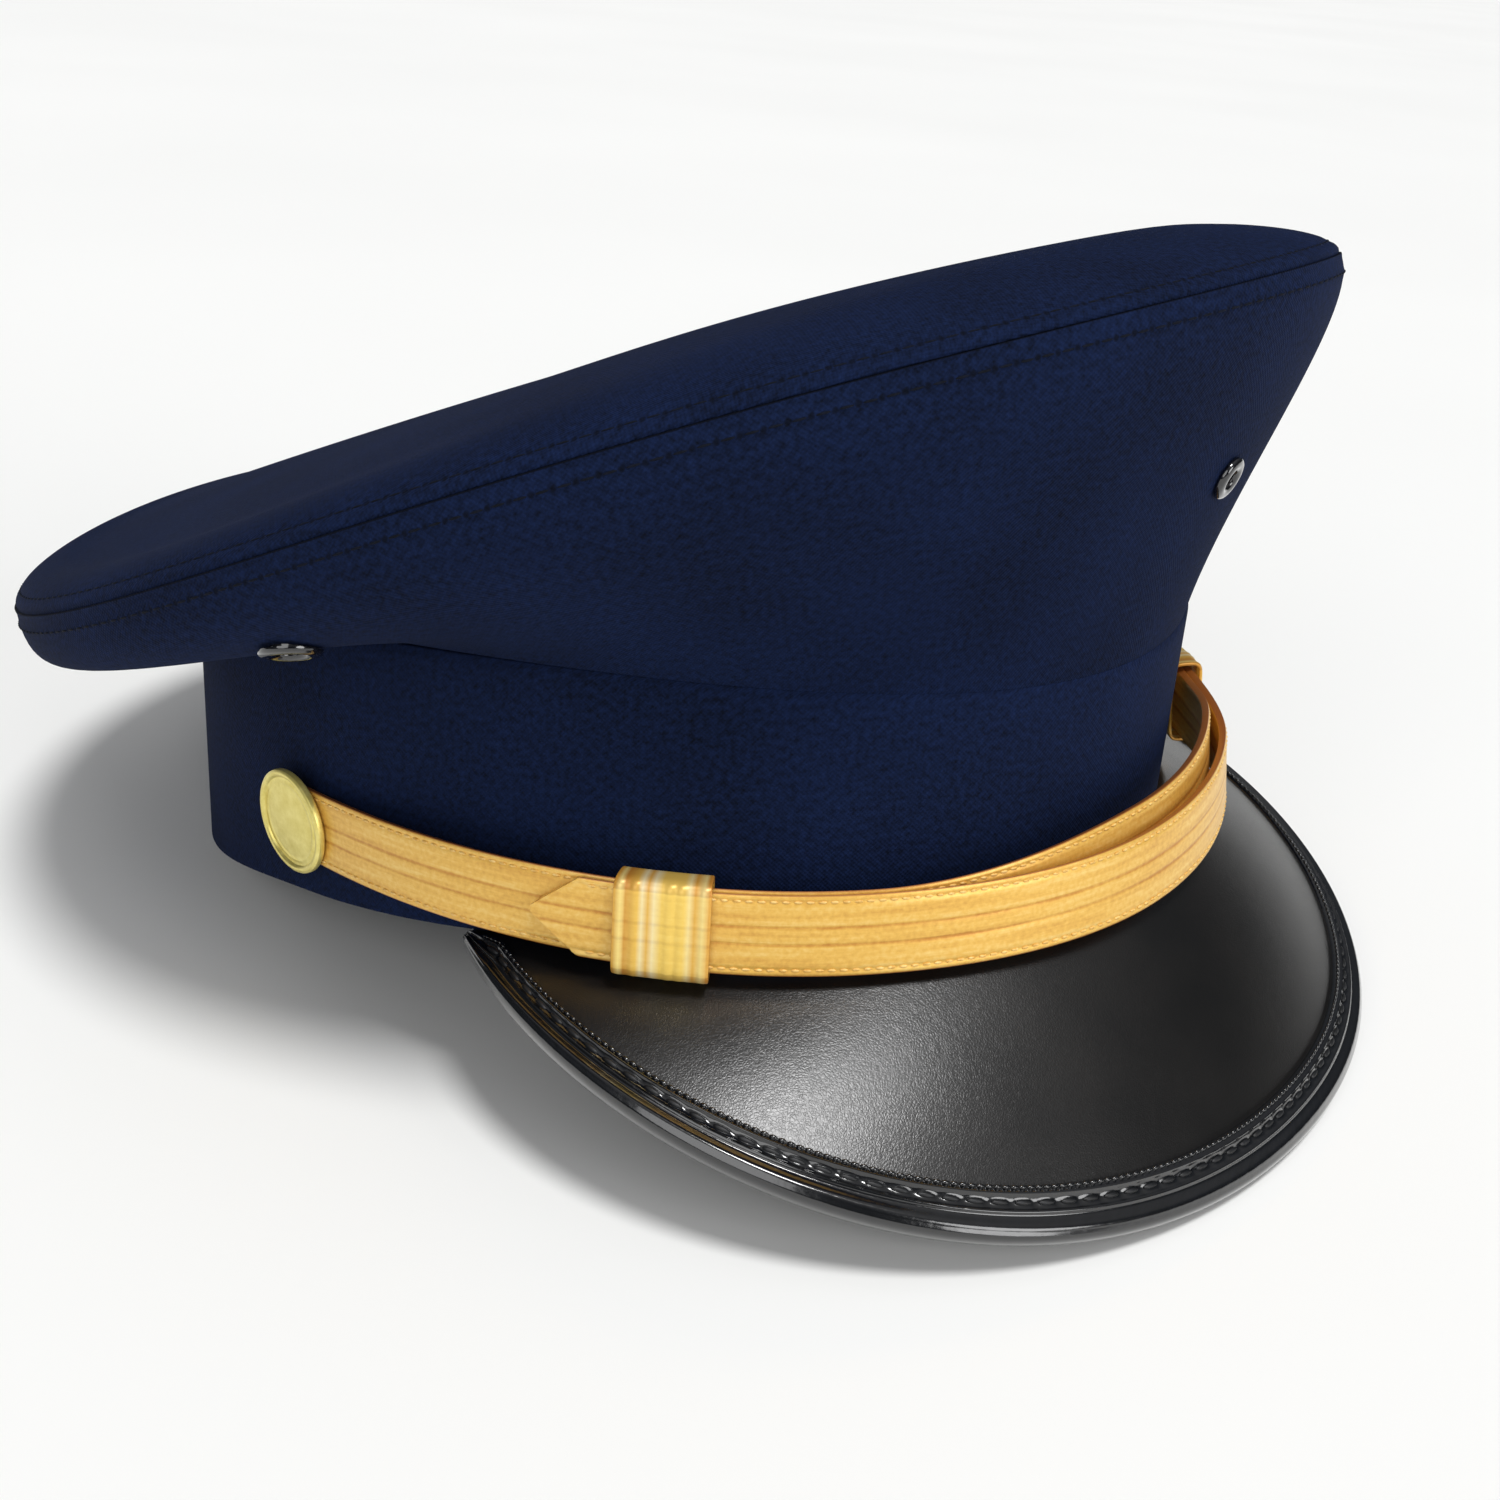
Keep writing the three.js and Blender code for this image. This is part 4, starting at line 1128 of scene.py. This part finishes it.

# %% [markdown]
# The keepers are the same leather, pressed with ribs and rails. Their material is a copy of the
# first, with bands of colour along the keeper mixed in: painted highlights on the ribs and rails,
# and painted shade in the ground between them.

# %% Ribbed gold leather
RIB_LIGHT_SHARE = 0.6                       # share of the bands in the mixture
ribbed = gold.copy()
ribbed.name = "ribbed_gold_leather"
tree = ribbed.node_tree
surface = tree.nodes["Principled BSDF"]
along_keeper = add(tree, "SeparateXYZ", {0: add(tree, "UVMap", uv_map="weave")}).outputs["X"]
portion = add(tree, "MapRange", {"Value": along_keeper, "From Min": -KEEPER_LENGTH / 2,
                                 "From Max": KEEPER_LENGTH / 2})
# Pale stops on the ribs and rails are painted highlights; the darker stops between them are
# painted shade.
bands = add(tree, "ValToRGB", {"Fac": portion}, stops=(
    (0.03, "#e0a83c"), (0.07, "#fff09a"), (0.12, "#c88a2c"), (0.24, "#eec456"),
    (0.3, "#fffac8"), (0.36, "#e8b448"), (0.42, "#fffac8"), (0.5, "#f8d868"),
    (0.72, "#f8d868"), (0.78, "#fff4b0"), (0.84, "#e0a83c"), (0.93, "#fff0a0"),
    (0.97, "#d89a38")))
streaked = surface.inputs["Base Color"].links[0].from_socket
plug(tree, surface, {"Base Color": add(tree, "Mix", {0: RIB_LIGHT_SHARE, 6: streaked, 7: bands},
                                       data_type="RGBA")})
print(ribbed.name, len(tree.nodes), "nodes")

# %% [markdown]
# ### Metals
# The buttons are stamped brass with a pale gilt finish, bright on the rim and slightly dulled
# by tarnish on the field, in patches a few millimetres across. The same pattern changes colour,
# gloss and relief, because tarnish does all three. The eyelets are brass under black enamel,
# which flows as it is fired and keeps a wet gloss: that gloss is the coat layer.

# %% Gilt brass
TARNISH = 0.42                     # patches per millimetre
gilt, tree, surface = new_material("gilt_brass", {"Metallic": 0.65})
tarnish = mottle(tree, surface, add(tree, "TexCoord").outputs["Object"], "#dac868", "#f2e490",
                 Scale=TARNISH / MM, Detail=4.0, Roughness=0.7)
dulled = add(tree, "Math", {0: tarnish, 1: 0.2, 2: 0.24}, operation="MULTIPLY_ADD")
bump = add(tree, "Bump", {"Height": tarnish, "Distance": 0.08 * MM, "Strength": 0.4})
plug(tree, surface, {"Roughness": dulled, "Normal": bump})
print(gilt.name, "patches, mm:", round(1 / TARNISH, 1))

# %% Black enamel
FLOWS = 0.5                        # per millimetre
enamel, tree, surface = new_material("black_enamel", {
    "Roughness": 0.12, "Coat Weight": 1.0, "Coat Roughness": 0.05})
mottle(tree, surface, add(tree, "TexCoord").outputs["Object"], "#08080a", "#131317",
       Scale=FLOWS / MM)
print(enamel.name, "flow marks, mm:", 1 / FLOWS)

# %% [markdown]
# ## Dressing the pieces
# Every piece gets its material and the frame nodes it stands for, and the table names the slot
# of the record it takes its finish from. All ride on the one body, since nothing on the cap moves.
# One table says it all, so that a piece that is left out is easy to see.

# %% Dress every piece
navy_thread, black_thread, gold_thread = threads.values()
for piece, material, slot, *nodes in (
        (band, cloth, "navy_cloth", "band"),
        (crown_side, cloth, "navy_cloth", "crown_side"),
        (crown_top, cloth, "navy_cloth", "crown_top"),
        (topstitch, navy_thread, "navy_cloth"),
        (peak, leather, "black_leather", "peak"),
        (binding, patent, "glossy_binding", "peak_binding"),
        (binding_thread, black_thread, "glossy_binding"),
        (binding_cord, patent, "glossy_binding"),
        (strap_inner, gold, "gold_strap", "strap_inner"),
        (strap_outer, gold, "gold_strap", "strap_outer"),
        (inner_thread, gold_thread, "gold_strap"),
        (outer_thread, gold_thread, "gold_strap"),
        (keeper_right, ribbed, "gold_strap", "keeper_right"),
        (keeper_left, ribbed, "gold_strap", "keeper_left"),
        (buttons["right"], gilt, "gilt_button", "button_right"),
        (buttons["left"], gilt, "gilt_button", "button_left"),
        *((piece, enamel, "black_eyelet", name) for name, piece in eyelets.items())):
    dress(piece, material, slot, *nodes)
    print(piece.name, "is", material.name)

# %% [markdown]
# ## Floor, light and camera
# The cap lies on a pale sheet of paper, so that its own shadow shows where it touches. Three
# broad soft lights do what softboxes do in a studio: the strongest overhead, one in front and
# one at the cap's right. The sky is bright above and dark towards the horizon, which gives the
# lacquer and the peak something to reflect. A single bright sky would wash the navy out.

# %% Floor
FLOOR_SIZE = 24                    # metres
bpy.ops.object.select_all(action="DESELECT")
bpy.ops.mesh.primitive_plane_add(size=FLOOR_SIZE)
floor = bpy.context.object
floor.name = "floor"
paper, tree, surface = new_material("pale_backdrop_paper", {"Roughness": 0.9})
mottle(tree, surface, add(tree, "TexCoord").outputs["Object"], "#f5f5f3", "#f8f8f6", Scale=2.0)
floor.data.materials.append(paper)
print("floor, m:", FLOOR_SIZE)

# %% Sky
world = bpy.data.worlds.new("pale_sky")
world.use_nodes = True
tree = world.node_tree
height = add(tree, "SeparateXYZ", {0: add(tree, "TexCoord").outputs["Generated"]}).outputs["Z"]
sky = add(tree, "ValToRGB", {"Fac": height},
          stops=((0.05, "#2e3238"), (0.5, "#7c8189"), (0.9, "#f8f8fa")))
plug(tree, tree.nodes["Background"], {"Strength": 0.42, "Color": sky})
bpy.context.scene.world = world
print(world.name, len(tree.nodes), "nodes")

# %% Soft lights
def soft_sun(name, towards, strength, spread):
    """A sun with a wide disc, which stands in a direction and casts a soft-edged shadow."""
    bpy.ops.object.light_add(type="SUN")
    lamp = bpy.context.object
    lamp.name = name
    lamp.data.energy, lamp.data.angle = strength, radians(spread)
    lamp.rotation_euler = Vector(towards).to_track_quat("Z", "Y").to_euler()
    print(name, "spread, degrees:", spread)


soft_sun("overhead_softbox", (-0.12, -0.3, 0.94), 2.0, 15)
soft_sun("front_softbox", (-0.1, -0.94, 0.3), 1.1, 30)
soft_sun("side_softbox", (-0.85, -0.25, 0.45), 0.85, 40)

# %% [markdown]
# The camera looks down at the wearer's right front, as someone does who sits at the table. It
# stands close, so the peak looks large and the crown falls away. It could be pointed with a
# constraint, but plain numbers for place and turn give the same view every time.

# %% Camera
CAMERA_AT = Vector((-0.2924, -0.2118, 0.1938))
CAMERA_AZIMUTH, CAMERA_RISE, CAMERA_ROLL = -55.99, 24.41, 4.57
CAMERA_LENS, SENSOR, NEAREST = 45.5, 36.0, 0.02
bpy.ops.object.camera_add()
camera = bpy.context.object
camera.matrix_world = (Matrix.Translation(CAMERA_AT)
                       @ Matrix.Rotation(radians(CAMERA_AZIMUTH), 4, "Z")
                       @ Matrix.Rotation(radians(90 - CAMERA_RISE), 4, "X")
                       @ Matrix.Rotation(radians(CAMERA_ROLL), 4, "Z"))
camera.data.lens, camera.data.sensor_width = CAMERA_LENS, SENSOR
camera.data.clip_start = NEAREST
bpy.context.scene.camera = camera
bpy.context.scene.view_settings.view_transform = "Standard"
print("camera stands, m:", [round(v, 3) for v in camera.matrix_world.translation])
